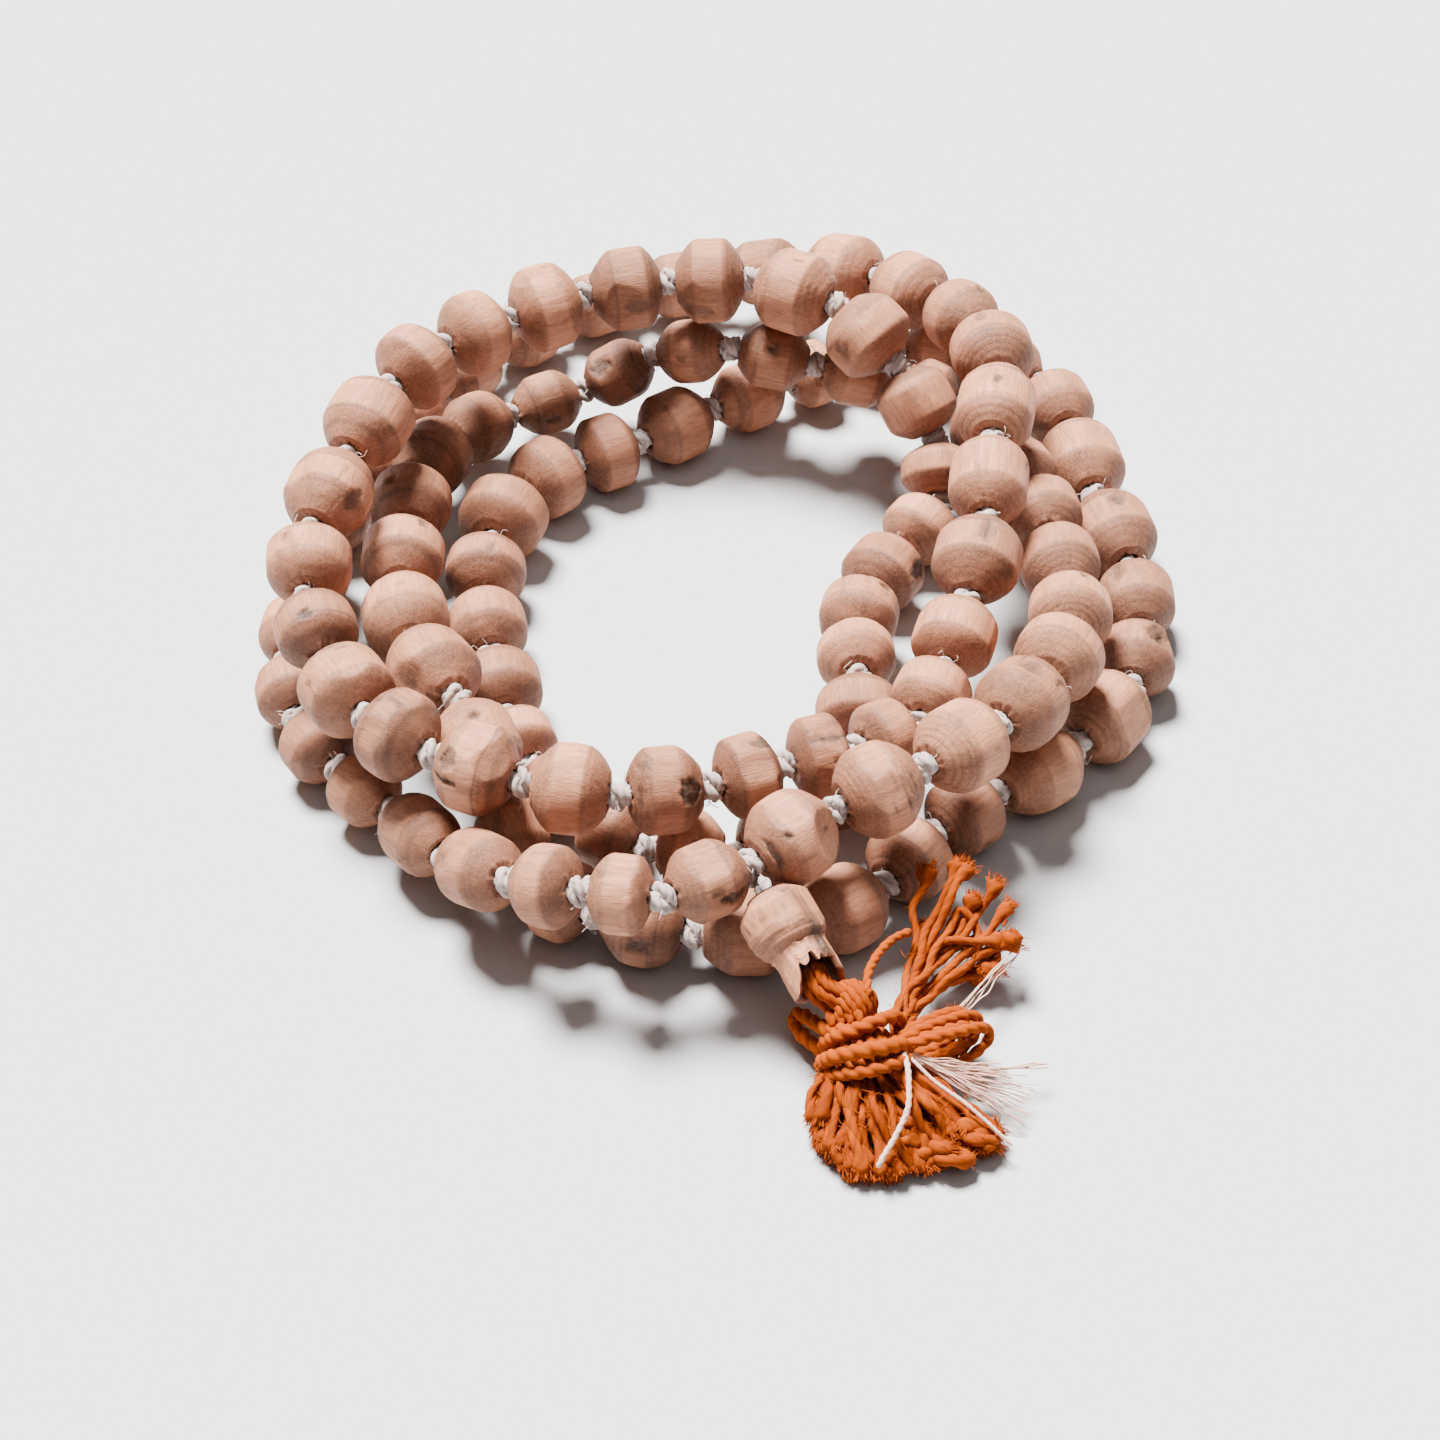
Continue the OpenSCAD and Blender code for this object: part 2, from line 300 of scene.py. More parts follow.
def ease(x, low, high):
    """Rises smoothly from 0 at low to 1 at high; falls instead if high is the smaller."""
    t = np.clip((x - low) / (high - low), 0, 1)
    return t * t * (3 - 2 * t)


# ---------------------------------------------------------------- materials


class Shading:
    """A new node material, with short ways to add and link its nodes."""

    def __init__(self, name):
        self.material = bpy.data.materials.new(name)
        self.material.use_nodes = True
        self.tree = self.material.node_tree
        self.tree.nodes.clear()
        self.shader = self.add("BsdfPrincipled")
        self.feed(self.add("OutputMaterial"), {0: self.shader.outputs[0]})

    def add(self, kind, **settings):
        node = self.tree.nodes.new("ShaderNode" + kind)
        for key, value in settings.items():
            setattr(node, key, value)
        return node

    def feed(self, node, values):
        """Gives a node's inputs numbers, triples or other nodes' outputs; returns the node."""
        for key, value in values.items():
            socket = node.inputs[key]
            if isinstance(value, bpy.types.NodeSocket):
                self.tree.links.new(value, socket)
            elif socket.type == "RGBA":
                socket.default_value = (*value, 1)
            else:
                socket.default_value = value
        return node

    def surface(self, **values):
        """Sets the shader's inputs; an underscore stands for each space in their names."""
        self.feed(self.shader, {key.replace("_", " "): value for key, value in values.items()})

    def mapped(self, scale, offset=(0, 0, 0)):
        """The piece's own coordinates in millimetres, scaled."""
        source = self.add("Attribute", attribute_name="local")
        values = {"Scale": scale, "Location": offset, "Vector": source.outputs["Vector"]}
        return self.feed(self.add("Mapping"), values).outputs[0]

    def noise(self, vector, scale, detail=4, rough=0.6, distortion=0):
        values = {"Vector": vector, "Scale": scale, "Detail": detail, "Roughness": rough,
                  "Distortion": distortion}
        return self.feed(self.add("TexNoise"), values).outputs["Fac"]

    def ramp(self, value, stops):
        node = self.feed(self.add("ValToRGB"), {"Fac": value})
        elements = node.color_ramp.elements
        while len(elements) < len(stops):
            elements.new(0.5)
        for element, (at, colour) in zip(elements, stops):
            element.position = at
            element.color = (*colour, 1)
        return node.outputs["Color"]

    def grey(self, value, low, high, out_low=0.0, out_high=1.0):
        values = {"Value": value, "From Min": low, "From Max": high, "To Min": out_low, "To Max": out_high}
        return self.feed(self.add("MapRange"), values).outputs[0]

    def mix(self, factor, first, second, blend="MIX"):
        node = self.add("Mix", data_type="RGBA", blend_type=blend)
        return self.feed(node, {0: factor, 6: first, 7: second}).outputs[2]

    def times(self, first, second):
        return self.feed(self.add("Math", operation="MULTIPLY"), {0: first, 1: second}).outputs[0]

    def bump(self, height, strength, distance, after=None):
        node = self.feed(self.add("Bump"), {"Height": height, "Strength": strength, "Distance": distance})
        if after is not None:
            self.feed(node, {"Normal": after})
        self.surface(Normal=node.outputs[0])
        return node.outputs[0]

    def tint_parts(self):
        source = self.add("Attribute", attribute_name="tint").outputs
        split = self.feed(self.add("SeparateColor"), {0: source["Color"]}).outputs
        return split[0], split[1], split[2], source["Alpha"]


def scaled(colour, factor):
    return tuple(c * factor for c in colour)


def wood_material(name, light, middle, dark, bark_dark, bark_light):
    """Dry turned wood: fibres along the bead, darker rings on its ends, bark where tint says so."""
    look = Shading(name)
    bark, end, tone, groove = look.tint_parts()
    along = look.mapped((1, 1, 0.12))
    fibre = look.noise(along, 2.2, 6, 0.68, 0.5)
    fine = look.noise(along, 10, 3, 0.7)
    cloud = look.noise(look.mapped((1, 1, 0.6), (31, 7, 3)), 0.30, 3, 0.6)
    colour = look.ramp(fibre, [(0.30, dark), (0.46, middle), (0.64, light)])
    cloudy = look.ramp(cloud, [(0.36, middle), (0.58, light)])
    colour = look.mix(0.5, colour, cloudy)
    warm = look.noise(look.mapped((1, 1, 0.5), (5, 17, 11)), 0.55, 2, 0.5)
    warmth = look.grey(warm, 0.55, 0.72, 0.0, 0.55)
    colour = look.mix(warmth, colour, scaled(middle, 0.72))
    lines = look.grey(fine, 0.51, 0.66, 0.0, 0.65)
    colour = look.mix(lines, colour, scaled(middle, 0.55))
    # the end grain is darker, with finer pores
    pores = look.noise(look.mapped((1, 1, 0.6)), 4.5, 5, 0.7)
    end_colour = look.ramp(pores, [(0.34, scaled(dark, 0.55)), (0.62, scaled(middle, 0.80))])
    colour = look.mix(look.times(end, 0.85), colour, end_colour)
    groove_dark = look.grey(groove, 0.0, 1.0, 0.0, 0.75)
    colour = look.mix(groove_dark, colour, scaled(dark, 0.45))
    # every bead has its own shade
    shade = look.ramp(tone, [(0.0, (0.50, 0.44, 0.40)), (0.5, (0.80, 0.76, 0.73)),
                             (1.0, (1.08, 1.06, 1.04))])
    colour = look.mix(1.0, colour, shade, "MULTIPLY")
    bark_noise = look.noise(look.mapped((1, 1, 0.5)), 3.5, 6, 0.72)
    bark_colour = look.ramp(bark_noise, [(0.35, bark_dark), (0.68, bark_light)])
    colour = look.mix(bark, colour, bark_colour)
    rough = look.grey(fibre, 0.3, 0.7, 0.74, 0.50)
    look.surface(Base_Color=colour, Roughness=rough, Specular_IOR_Level=0.35)
    height = look.mix(0.45, fibre, fine)
    first = look.bump(height, 0.7, 0.00020)
    look.bump(bark_noise, 0.22, 0.00012, first)
    return look.material


def yarn_material(name, light, dark, sheen):
    """Spun fibre: strands run along local Z, with a soft edge sheen and painted shade in the grooves between
    plies.
    """
    look = Shading(name)
    worn, deep, tone, _ = look.tint_parts()
    strand = look.noise(look.mapped((1, 1, 0.2)), 7, 5, 0.72, 0.4)
    cloud = look.noise(look.mapped((1, 1, 1)), 0.9, 2, 0.5)
    colour = look.ramp(strand, [(0.32, dark), (0.58, light)])
    colour = look.mix(look.grey(cloud, 0.40, 0.70, 0.0, 0.4), colour, dark)
    # painted shade: where the tint's second value is high, in the grooves between plies and on the packed
    # cores, the colour is darkened
    colour = look.mix(look.times(deep, 0.6), colour, scaled(dark, 0.6))
    pale = tuple(min(1, c * 1.25 + 0.004) for c in light)
    colour = look.mix(look.times(worn, 0.6), colour, pale)
    shade = look.ramp(tone, [(0.0, (0.62, 0.55, 0.55)), (1.0, (1.0, 1.0, 1.0))])
    colour = look.mix(1.0, colour, shade, "MULTIPLY")
    look.surface(Base_Color=colour, Roughness=0.82, Specular_IOR_Level=0.06, Sheen_Weight=sheen,
                 Sheen_Roughness=0.5, Sheen_Tint=light)
    look.bump(strand, 0.6, 0.00008)
    return look.material


BARK_DARK = (0.020, 0.009, 0.005)
BARK_LIGHT = (0.105, 0.048, 0.026)
BEAD_WOOD = wood_material("bead_wood", (0.53, 0.232, 0.128), (0.36, 0.148, 0.077), (0.16, 0.062, 0.031),
                          BARK_DARK, BARK_LIGHT)
GURU_WOOD = wood_material("guru_wood", (0.53, 0.232, 0.128), (0.36, 0.148, 0.077), (0.17, 0.066, 0.033),
                          BARK_DARK, (0.12, 0.055, 0.028))
COTTON = yarn_material("cord_cotton", (0.46, 0.385, 0.36), (0.24, 0.18, 0.16), 0.1)
ORANGE = yarn_material("tassel_yarn", (0.29, 0.050, 0.0), (0.155, 0.019, 0.0), 0.0)
PALE = yarn_material("thread_pale", (0.60, 0.39, 0.31), (0.48, 0.23, 0.15), 0.1)

# ---------------------------------------------------------------- beads

# Marks on single beads, by the bead's number: (degrees round from the viewer's side, place along
# -1..1, width mm, length mm, depth mm, how dark)
MARKS = {
    78: [(4, 0.52, 2.5, 2.0, 0.35, 1.0), (-46, -0.6, 1.6, 1.4, 0.25, 0.55),
         (8, -0.85, 2.4, 0.35, 0.2, 0.7)],
    79: [(-44, 0.5, 1.5, 1.9, 0.25, 0.9), (18, 0.62, 0.7, 0.4, 0.2, 0.6)],
    80: [(-26, 0.12, 0.7, 3.4, 0.4, 0.95), (10, 0.3, 0.5, 1.2, 0.2, 0.5)],
    76: [(-2, -0.52, 2.1, 1.5, 0.4, 0.8), (27, -0.48, 0.55, 2.9, 0.4, 0.95)],
    75: [(-42, 0.05, 0.8, 2.2, 0.25, 0.7), (-34, -0.5, 0.5, 1.4, 0.2, 0.6),
         (22, 0.3, 1.4, 1.2, 0.15, 0.45)],
    74: [(-24, -0.45, 2.2, 0.5, 0.25, 0.65), (-38, -0.25, 1.6, 0.35, 0.2, 0.5),
         (30, 0.1, 0.5, 1.2, 0.2, 0.5)],
    108: [(36, 0.32, 1.1, 2.6, 0.45, 1.0), (20, -0.1, 0.6, 1.4, 0.2, 0.6)],
    1: [(-6, -0.42, 0.5, 0.6, 0.4, 1.0), (22, 0.66, 0.5, 0.6, 0.4, 1.0),
        (10, -0.83, 3.4, 0.5, 0.25, 0.9)],
    2: [(24, 0.28, 2.6, 0.22, 0.18, 0.55), (-8, 0.12, 2.2, 0.2, 0.18, 0.5),
        (6, 0.45, 3.0, 0.22, 0.18, 0.5), (30, -0.08, 2.0, 0.18, 0.16, 0.5),
        (-22, 0.35, 1.6, 0.18, 0.16, 0.45), (10, 0.6, 2.2, 0.2, 0.16, 0.45)],
    4: [(-30, 0.0, 2.0, 1.8, 0.25, 0.7), (-50, 0.3, 0.5, 2.0, 0.25, 0.6), (12, 0.2, 0.6, 1.2, 0.2, 0.5)],
    73: [(0, 0.3, 1.3, 1.0, 0.25, 1.0)], 87: [(-10, 0.15, 1.2, 1.8, 0.2, 0.6)],
    72: [(30, -0.1, 0.9, 1.2, 0.3, 0.6)],
    84: [(0, 0.18, 1.9, 2.9, 0.15, 0.6), (0, 0.18, 0.5, 1.9, 0.15, 0.95), (52, -0.5, 1.2, 1.0, 0.2, 0.5)],
    6: [(10, 0.3, 0.8, 1.0, 0.3, 0.8)],
    33: [(16, 0.1, 2.3, 2.3, 0.4, 0.85), (22, 0.05, 1.2, 1.2, 0.4, 1.0)],
    35: [(18, 0.1, 2.0, 2.2, 0.2, 0.6), (18, 0.1, 1.0, 1.1, 0.3, 0.95)],
    34: [(-36, 0.2, 1.6, 2.4, 0.25, 0.7)], 63: [(-50, 0.0, 1.4, 1.9, 0.3, 0.6)],
    65: [(-60, 0.3, 1.8, 3.0, 0.35, 0.55)], 66: [(-40, -0.2, 1.5, 2.6, 0.25, 0.65)],
    51: [(10, 0.0, 1.0, 1.2, 0.35, 0.9)], 59: [(40, 0.2, 1.7, 2.6, 0.3, 0.95)],
    58: [(26, 0.3, 1.2, 1.2, 0.25, 0.85)],
    105: [(-4, -0.2, 1.9, 1.5, 0.12, 0.4), (-4, -0.2, 0.7, 0.6, 0.12, 0.6)],
    23: [(-18, -0.3, 0.8, 0.8, 0.3, 0.9)], 22: [(34, 0.4, 1.8, 2.2, 0.3, 0.6)],
    24: [(20, 0.2, 1.2, 1.8, 0.3, 0.6)], 50: [(20, -0.2, 1.4, 1.4, 0.3, 0.7)],
    15: [(20, 0.2, 2.0, 2.4, 0.35, 0.95)],
    13: [(6, 0.1, 1.7, 1.7, 0.25, 0.55), (6, 0.1, 0.7, 0.7, 0.25, 1.0)],
    14: [(-20, 0.0, 0.6, 1.2, 0.2, 0.5)], 107: [(-30, -0.5, 0.35, 1.4, 0.2, 0.5)],
    26: [(30, 0.1, 1.6, 2.2, 0.4, 0.9)], 71: [(-50, 0.4, 1.6, 2.0, 0.25, 0.6)],
    47: [(-10, 0.2, 0.6, 1.2, 0.25, 0.8)], 21: [(-10, 0.1, 0.6, 0.7, 0.2, 0.5)],
}
# How dark or light single beads are, from 0 to 1; the others get a drawn shade.
SHADES = {
    1: 0.7, 2: 0.62, 3: 0.9, 4: 0.42, 5: 0.8, 6: 0.85, 13: 0.3, 14: 0.35, 15: 0.15, 16: 0.4, 17: 0.35,
    18: 0.2, 19: 0.3, 20: 0.75, 21: 0.9, 22: 0.5, 23: 0.7, 26: 0.15, 27: 0.25, 30: 0.2, 33: 0.25, 34: 0.3,
    35: 0.4, 43: 0.2, 44: 0.15, 45: 0.4, 46: 0.35, 47: 0.45, 48: 0.5, 58: 0.55, 59: 0.35, 63: 0.7,
    64: 0.85, 65: 0.45, 66: 0.3, 67: 0.95, 68: 0.95, 69: 0.7, 70: 0.8, 71: 0.85, 72: 0.85, 73: 0.3,
    74: 0.6, 75: 0.25, 76: 0.7, 77: 0.85, 78: 0.35, 79: 0.3, 80: 0.25, 81: 0.4, 82: 0.9, 83: 0.95,
    84: 0.5, 85: 0.9, 86: 1.0, 104: 0.5, 105: 0.4, 106: 0.55, 107: 0.65, 108: 0.45,
}
# Flat cuts on single beads, by the bead's number: (degrees round from the viewer's side, tilt
# towards the bead's end in degrees, depth mm)
CUTS = {
    1: [(28, 38, 0.85), (-30, 0, 0.35), (-70, 10, 0.3)],
    76: [(-40, 0, 0.55), (-24, 32, 0.6), (60, 0, 0.35)], 78: [(80, 0, 0.3)], 79: [(-10, 0, 0.25)],
    80: [(-30, 12, 0.45), (35, -10, 0.3)], 3: [(-65, 8, 0.25)], 22: [(40, 25, 0.6)], 23: [(35, 28, 0.6)],
    24: [(20, 25, 0.6)], 66: [(-30, 12, 0.6)], 67: [(60, 28, 0.5)], 65: [(-40, 20, 0.5)],
    71: [(55, 0, 0.4)], 83: [(-80, 0, 0.25)], 2: [(12, 0, 0.3), (-40, 0, 0.2)], 33: [(60, 20, 0.6)],
    32: [(30, 0, 0.5)], 107: [(-50, 0, 0.3), (40, 20, 0.35)], 108: [(-30, 0, 0.35), (75, 0, 0.3)],
    26: [(-60, 10, 0.4)], 27: [(-50, 0, 0.3)], 75: [(10, 0, 0.35), (-55, 8, 0.3)], 74: [(-30, 12, 0.4)],
}
BORE_TINT = (0.35, 1.0)


def bead_profile(bead, draw, step):
    """Radius and height along the bead's outside, from one bore lip to the other, in mm."""
    half = bead.long / 2
    r = bead.r
    edges = []
    rows = []
    for side in (-1, 1):
        end_r = r * draw.uniform(0.42, 0.54)
        edge = half * draw.uniform(0.24, 0.46)
        fall = draw.uniform(1.4, 2.1)
        swell = draw.uniform(0.0, 0.02)
        run = half - 0.04 - edge
        t = np.linspace(0, 1, max(8, int(run * 1.35 / step)))
        t = 1 - (1 - t) ** 1.35
        taper = np.stack([edge + run * t, end_r + (r - end_r) * (1 - t ** fall)], -1)
        band = np.linspace(0, 1, max(4, int(edge / step)), endpoint=False)
        barrel = np.stack([edge * band, r * (1 - swell * band ** 2)], -1)
        taper[:, 1] *= 1 - swell * (1 - t)
        face = np.linspace(1, 0, 5)[1:]
        end = np.stack([half + 0 * face, BORE_R + 0.1 + (end_r - BORE_R - 0.1) * face], -1)
        rows.append(np.vstack([barrel, taper, end]) * [side, 1])
        edges.append(edge)
    return np.vstack([rows[0][::-1][:-1], rows[1]]), edges[0], edges[1]


def cut_flat(points, degrees, tilt, depth):
    """Slices a flat off the bead's side: whatever is past the plane is pressed back to it."""
    turned, leaning = math.radians(degrees), math.radians(tilt)
    normal = np.array([math.cos(turned) * math.cos(leaning), math.sin(turned) * math.cos(leaning),
                       math.sin(leaning)])
    beyond = points @ normal
    limit = beyond.max() - depth
    return points - np.maximum(0, beyond - limit)[..., None] * normal


def shape_bead(build, bead, marks, cuts, tone, seed, around, step):
    """One turned bead: lathe marks, hand-cut flats, ragged lips, pits and bark."""
    draw = np.random.RandomState(seed)
    profile, edge_low, edge_high = bead_profile(bead, draw, step)
    half = bead.long / 2
    z = profile[:, 0][:, None]
    radius = profile[:, 1][:, None]
    angle = np.linspace(0, 2 * np.pi, around, endpoint=False)[None, :]
    raw = lathe(angle, radius, z)
    shift = draw.uniform(-50, 50, 3)

    # the lathe leaves uneven rings on the tapered ends, fainter ones on the band
    edge = np.where(z < 0, edge_low, edge_high)
    taper = ease(np.abs(z), edge - 0.05, edge + 0.35)
    ring_pace = draw.uniform(6.0, 9.5)
    along = z * ring_pace + radius * ring_pace * 0.6
    rings = np.sin(along + 0.7 * waves(raw, 6, seed + 1)) + 0.6 * np.sin(along * 2.3 + 1.7)
    change = -(0.004 + 0.022 * draw.uniform(0, 1) ** 2 * taper) * rings
    # out of round, and torn fibres along the grain
    change = change + 0.06 * waves(raw * [1, 1, 0.5], 6.5, seed + 2)
    fibres = waves(raw * [1, 1, 0.16], 0.75, seed + 3)
    change = change + 0.02 * fibres
    bark = np.zeros(change.shape)
    groove = np.clip(rings * 0.6, 0, 1) * taper * draw.uniform(0.3, 0.9) + 0 * angle

    lip = ease(np.abs(z), half - 0.5, half - 0.02) * ease(radius, BORE_R + 1.1, BORE_R + 0.3)
    rim = lathe(angle, 4 + 0 * z, np.sign(z) * 3)
    torn = waves(rim, 1.7, seed + 4)
    stretch = np.sign(z) * lip * (draw.uniform(0.05, 0.16) * torn + 0.03)

    for degrees, place_along, wide, long, deep, dark in marks:
        away = round_from(angle, math.radians(degrees))
        ragged = 1 + 0.22 * waves(raw, 1.1, seed + 5)
        offset = (z - place_along * half) / (long / 2)
        distance = np.sqrt((away * radius / (wide / 2)) ** 2 + offset ** 2) / ragged
        pit = ease(distance, 1.12, 0.8)
        change = change - deep * pit * (0.8 + 0.2 * waves(raw, 0.7, seed + 6))
        bark = np.maximum(bark, dark * ease(distance, 1.25, 0.85))
        # the grain swells into a rim of lighter and darker lines round the mark
        halo = ease(distance, 2.4, 1.3) * ease(distance, 0.9, 1.3)
        bark = np.maximum(bark, 0.30 * dark * halo * (0.5 + 0.5 * np.sin(distance * 9)))
    # faint dark streaks of inner bark
    for _ in range(draw.randint(0, 4)):
        away = (angle - draw.uniform(0, 2 * np.pi) + np.pi + 0.05 * z) % (2 * np.pi) - np.pi
        streak = ease(np.abs(away) * bead.r, draw.uniform(0.15, 0.6), 0.05)
        streak = streak * np.clip(0.4 + waves(raw, 2.2, seed + 7), 0, 1)
        bark = np.maximum(bark, 0.4 * streak)
        change = change - 0.05 * streak

    new_radius = np.clip(radius + change, BORE_R + 0.06, bead.r * 1.012)
    local = lathe(angle, new_radius, z + stretch)
    for degrees, tilt, depth in cuts:
        local = cut_flat(local, degrees, tilt, depth)
    end = taper * draw.uniform(0.7, 1.15) + 0.5 * ease(np.abs(z), half * 0.5, half)
    end = np.clip(end, 0, 1) + 0 * angle
    end = np.clip(end * (0.8 + 0.25 * waves(raw, 3.1, seed + 8)), 0, 1)
    tint = np.stack([bark, end, np.full(bark.shape, tone), np.clip(groove, 0, 1)], -1)
    u, v = axes_for(bead.way, TO_VIEW)

    build.grid(placed(local, bead.at, u, v, bead.way), local + shift, tint)
    # the bore, from lip to lip
    depth = np.array([half, half - 0.25, half - 0.9, 0, -half + 0.9, -half + 0.25, -half])[:, None]
    wall = BORE_R + 0.04 * np.cos(3 * angle + seed) + 0 * depth
    bore = lathe(angle, wall, depth)
    bore[0] = local[-1]
    bore[-1] = local[0]
    build.grid(placed(bore, bead.at, u, v, bead.way), bore + shift, tinted(bore, *BORE_TINT, tone))


def bead_tone(number):
    drawn = np.random.RandomState(900 + number).uniform(0.25, 1.0)
    return SHADES.get(number, drawn)


def random_marks(number):
    """A bead without marks of its own gets up to two small pits, anywhere round it."""
    draw = np.random.RandomState(300 + number)
    marks = []
    for _ in range(draw.randint(0, 3)):
        marks.append((draw.uniform(0, 360), draw.uniform(-0.4, 0.4), draw.uniform(0.3, 1.0),
                      draw.uniform(0.5, 1.8), draw.uniform(0.1, 0.3), draw.uniform(0.4, 0.9)))
    return marks


def random_cuts(number):
    """A bead without cuts of its own gets one to three shallow whittled flats."""
    draw = np.random.RandomState(600 + number)
    return [(draw.uniform(0, 360), draw.uniform(-32, 32), draw.uniform(0.04, 0.20))
            for _ in range(draw.randint(1, 4))]


def make_beads():
    grouped = {}
    for name, (first, last) in GROUPS.items():
        for number in range(first, last + 1):
            grouped[number] = name
    builds = {}
    for bead in BEADS:
        name = grouped.get(bead.number, f"bead_{bead.number:03d}")
        build = builds.setdefault(name, Build())
        marks = MARKS.get(bead.number) or random_marks(bead.number)
        cuts = CUTS.get(bead.number) or random_cuts(bead.number)
        around, step = (60, 0.2) if bead.number in grouped else (80, 0.15)
        shape_bead(build, bead, marks, cuts, bead_tone(bead.number), 100 * bead.number, around, step)
    for name, build in builds.items():
        body = "root" if name in GROUPS else name
        finish_piece(build, "wood_" + name, BEAD_WOOD, body, [name])


make_beads()


def shape_guru(build):
    """The guru bead: a barrel that narrows into a stem, whose lower end is broken open."""
    draw = np.random.RandomState(77)
    r, stem_r = GURU_D / 2, STEM_D / 2
    outline = np.array([
        [0.05, BORE_R + 0.6], [0, r * 0.45], [0.15, r * 0.56], [0.85, r * 0.81], [1.45, r * 0.97],
        [1.8, r], [3.3, r], [3.6, r * 0.985], [4.4, r * 0.92], [5.0, r * 0.82], [5.3, stem_r * 1.03],
        [5.45, stem_r * 0.99], [6.4, stem_r * 0.96], [8.0, stem_r * 1.0], [9.4, stem_r * 0.97]])
    z = np.arange(0, GURU_LONG + STEM_LONG, 0.12)
    radius = np.interp(z, outline[:, 0], outline[:, 1])
    z = np.concatenate([[0.05, 0.02], z, [GURU_LONG + STEM_LONG]])[:, None]
    radius = np.concatenate([[BORE_R + 0.6, BORE_R + 0.9], radius, [stem_r * 0.98]])[:, None]
    angle = np.linspace(0, 2 * np.pi, 108, endpoint=False)[None, :]
    raw = lathe(angle, radius, z)
    on_stem = ease(z, GURU_LONG - 0.1, GURU_LONG + 0.15)
    on_foot = ease(z, 3.3, 3.8) * (1 - on_stem)
    rings = np.sin(z * 7.5 + 0.6 * waves(raw, 5, 41)) + 0.5 * np.sin(z * 17)
    change = -(0.012 + 0.04 * on_foot) * rings + 0.05 * waves(raw * [1, 1, 0.5], 6, 42)
    change = change + (0.02 + 0.05 * on_stem) * waves(raw * [1, 1, 0.14], 0.8, 43)
    # a band of small gouges round the upper part of the barrel
    gouge = ease(np.abs(z - 2.5), 0.7, 0.2) * np.clip(waves(raw * [1, 1, 0.3], 1.0, 44), 0, 1)
    change = change - 0.10 * gouge
    # whittled ridges where the barrel steps down to the stem
    step = ease(np.abs(z - GURU_LONG), 0.25, 0.0)
    change = change + 0.14 * step * waves(raw * [1, 1, 0.2], 0.9, 45)
    new_radius = np.clip(radius + change, BORE_R + 0.5, r * 1.01)
    # the wall of the stem that faces the viewer is broken short, its edge torn along the fibres
    broken = ease(np.abs((angle + 0.55 + np.pi) % (2 * np.pi) - np.pi), 1.5, 0.6)
    torn = waves(lathe(angle, 3, 0), 1.1, 46)
    cut = np.clip(broken * (0.50 + torn * 0.13) + 0.05 + 0.03 * torn, 0.0, 0.7)
    z_cut = np.where(z > GURU_LONG, GURU_LONG + (z - GURU_LONG) * (1 - cut), z)
    local = lathe(angle, new_radius, z_cut)
    for degrees, tilt, depth in ((-62, 0, 0.5), (35, -8, 0.22), (-12, 0, 0.2), (-95, 0, 0.35)):
        cut_local = cut_flat(local, degrees, tilt, depth)
        local = np.where((z < GURU_LONG - 0.3)[..., None], cut_local, local)
    # a strip of dark bark down the right side, over barrel and stem
    away = (angle + math.radians(44) + 0.03 * (z - 3) + np.pi) % (2 * np.pi) - np.pi
    strip = ease(np.abs(away) * radius, 1.2, 0.7) * ease(z, 0.4, 1.2)
    strip = strip * np.clip(0.9 + 0.5 * waves(raw * [1, 1, 0.25], 1.6, 47), 0, 1)
    end = np.clip(on_foot * 0.75 + ease(z, 0.8, 0.1) * 0.9, 0, 1) + 0 * angle
    groove = np.clip(rings * 0.4, 0, 1) * on_foot * 0.5 + 0.6 * gouge
    tint = np.stack([strip, end, np.full(strip.shape, 0.72) + 0.25 * on_stem, np.clip(groove, 0, 1)], -1)
    w = unit(GURU_WAY)
    u, v = axes_for(w, TO_VIEW)

    shift = draw.uniform(-50, 50, 3)
    build.grid(placed(local, GURU_TOP, u, v, w), local + shift, tint)
    # the hollow inside: a rough brown wall, from the stem's torn edge up to the top
    last = local[-1]
    inner = [last]
    for share, wall_r in ((0.985, 1.95), (0.9, 1.85), (0.75, 1.75), (0.55, 1.7), (0.2, 1.7), (0.0, 1.65)):
        ring = np.stack([np.cos(angle[0]) * wall_r, np.sin(angle[0]) * wall_r, last[:, 2] * share], -1)
        ring[:, :2] *= (1 + 0.05 * waves(ring * [1, 1, 0.3], 0.8, 48))[:, None]
        inner.append(ring)
    inner.append(local[0])
    inner = np.array(inner)
    inner_tint = tinted(inner, *BORE_TINT, 0.6)
    inner_tint[0] = (0.0, 0.2, 1.0, 0.0)
    build.grid(placed(inner, GURU_TOP, u, v, w), inner + shift, inner_tint)


def make_guru():
    build = Build()
    shape_guru(build)
    finish_piece(build, "guru_barrel_and_stem", GURU_WOOD, "guru", ["guru_bead"])


make_guru()

# ---------------------------------------------------------------- cords and yarns


def smooth_path(points, step):
    """A Catmull-Rom curve through the points, sampled about every step mm."""
    points = np.asarray(points, float)
    padded = np.vstack([2 * points[0] - points[1], points, 2 * points[-1] - points[-2]])
    out = []
    for k in range(len(points) - 1):
        p0, p1, p2, p3 = padded[k:k + 4]
        steps = max(2, int(np.linalg.norm(p2 - p1) / step))
        t = np.linspace(0, 1, steps, endpoint=False)[:, None]
        out.append(0.5 * (2 * p1 + (p2 - p0) * t + (2 * p0 - 5 * p1 + 4 * p2 - p3) * t ** 2
                          + (3 * p1 - p0 - 3 * p2 + p3) * t ** 3))
    out.append(points[-1:])
    return np.vstack(out)


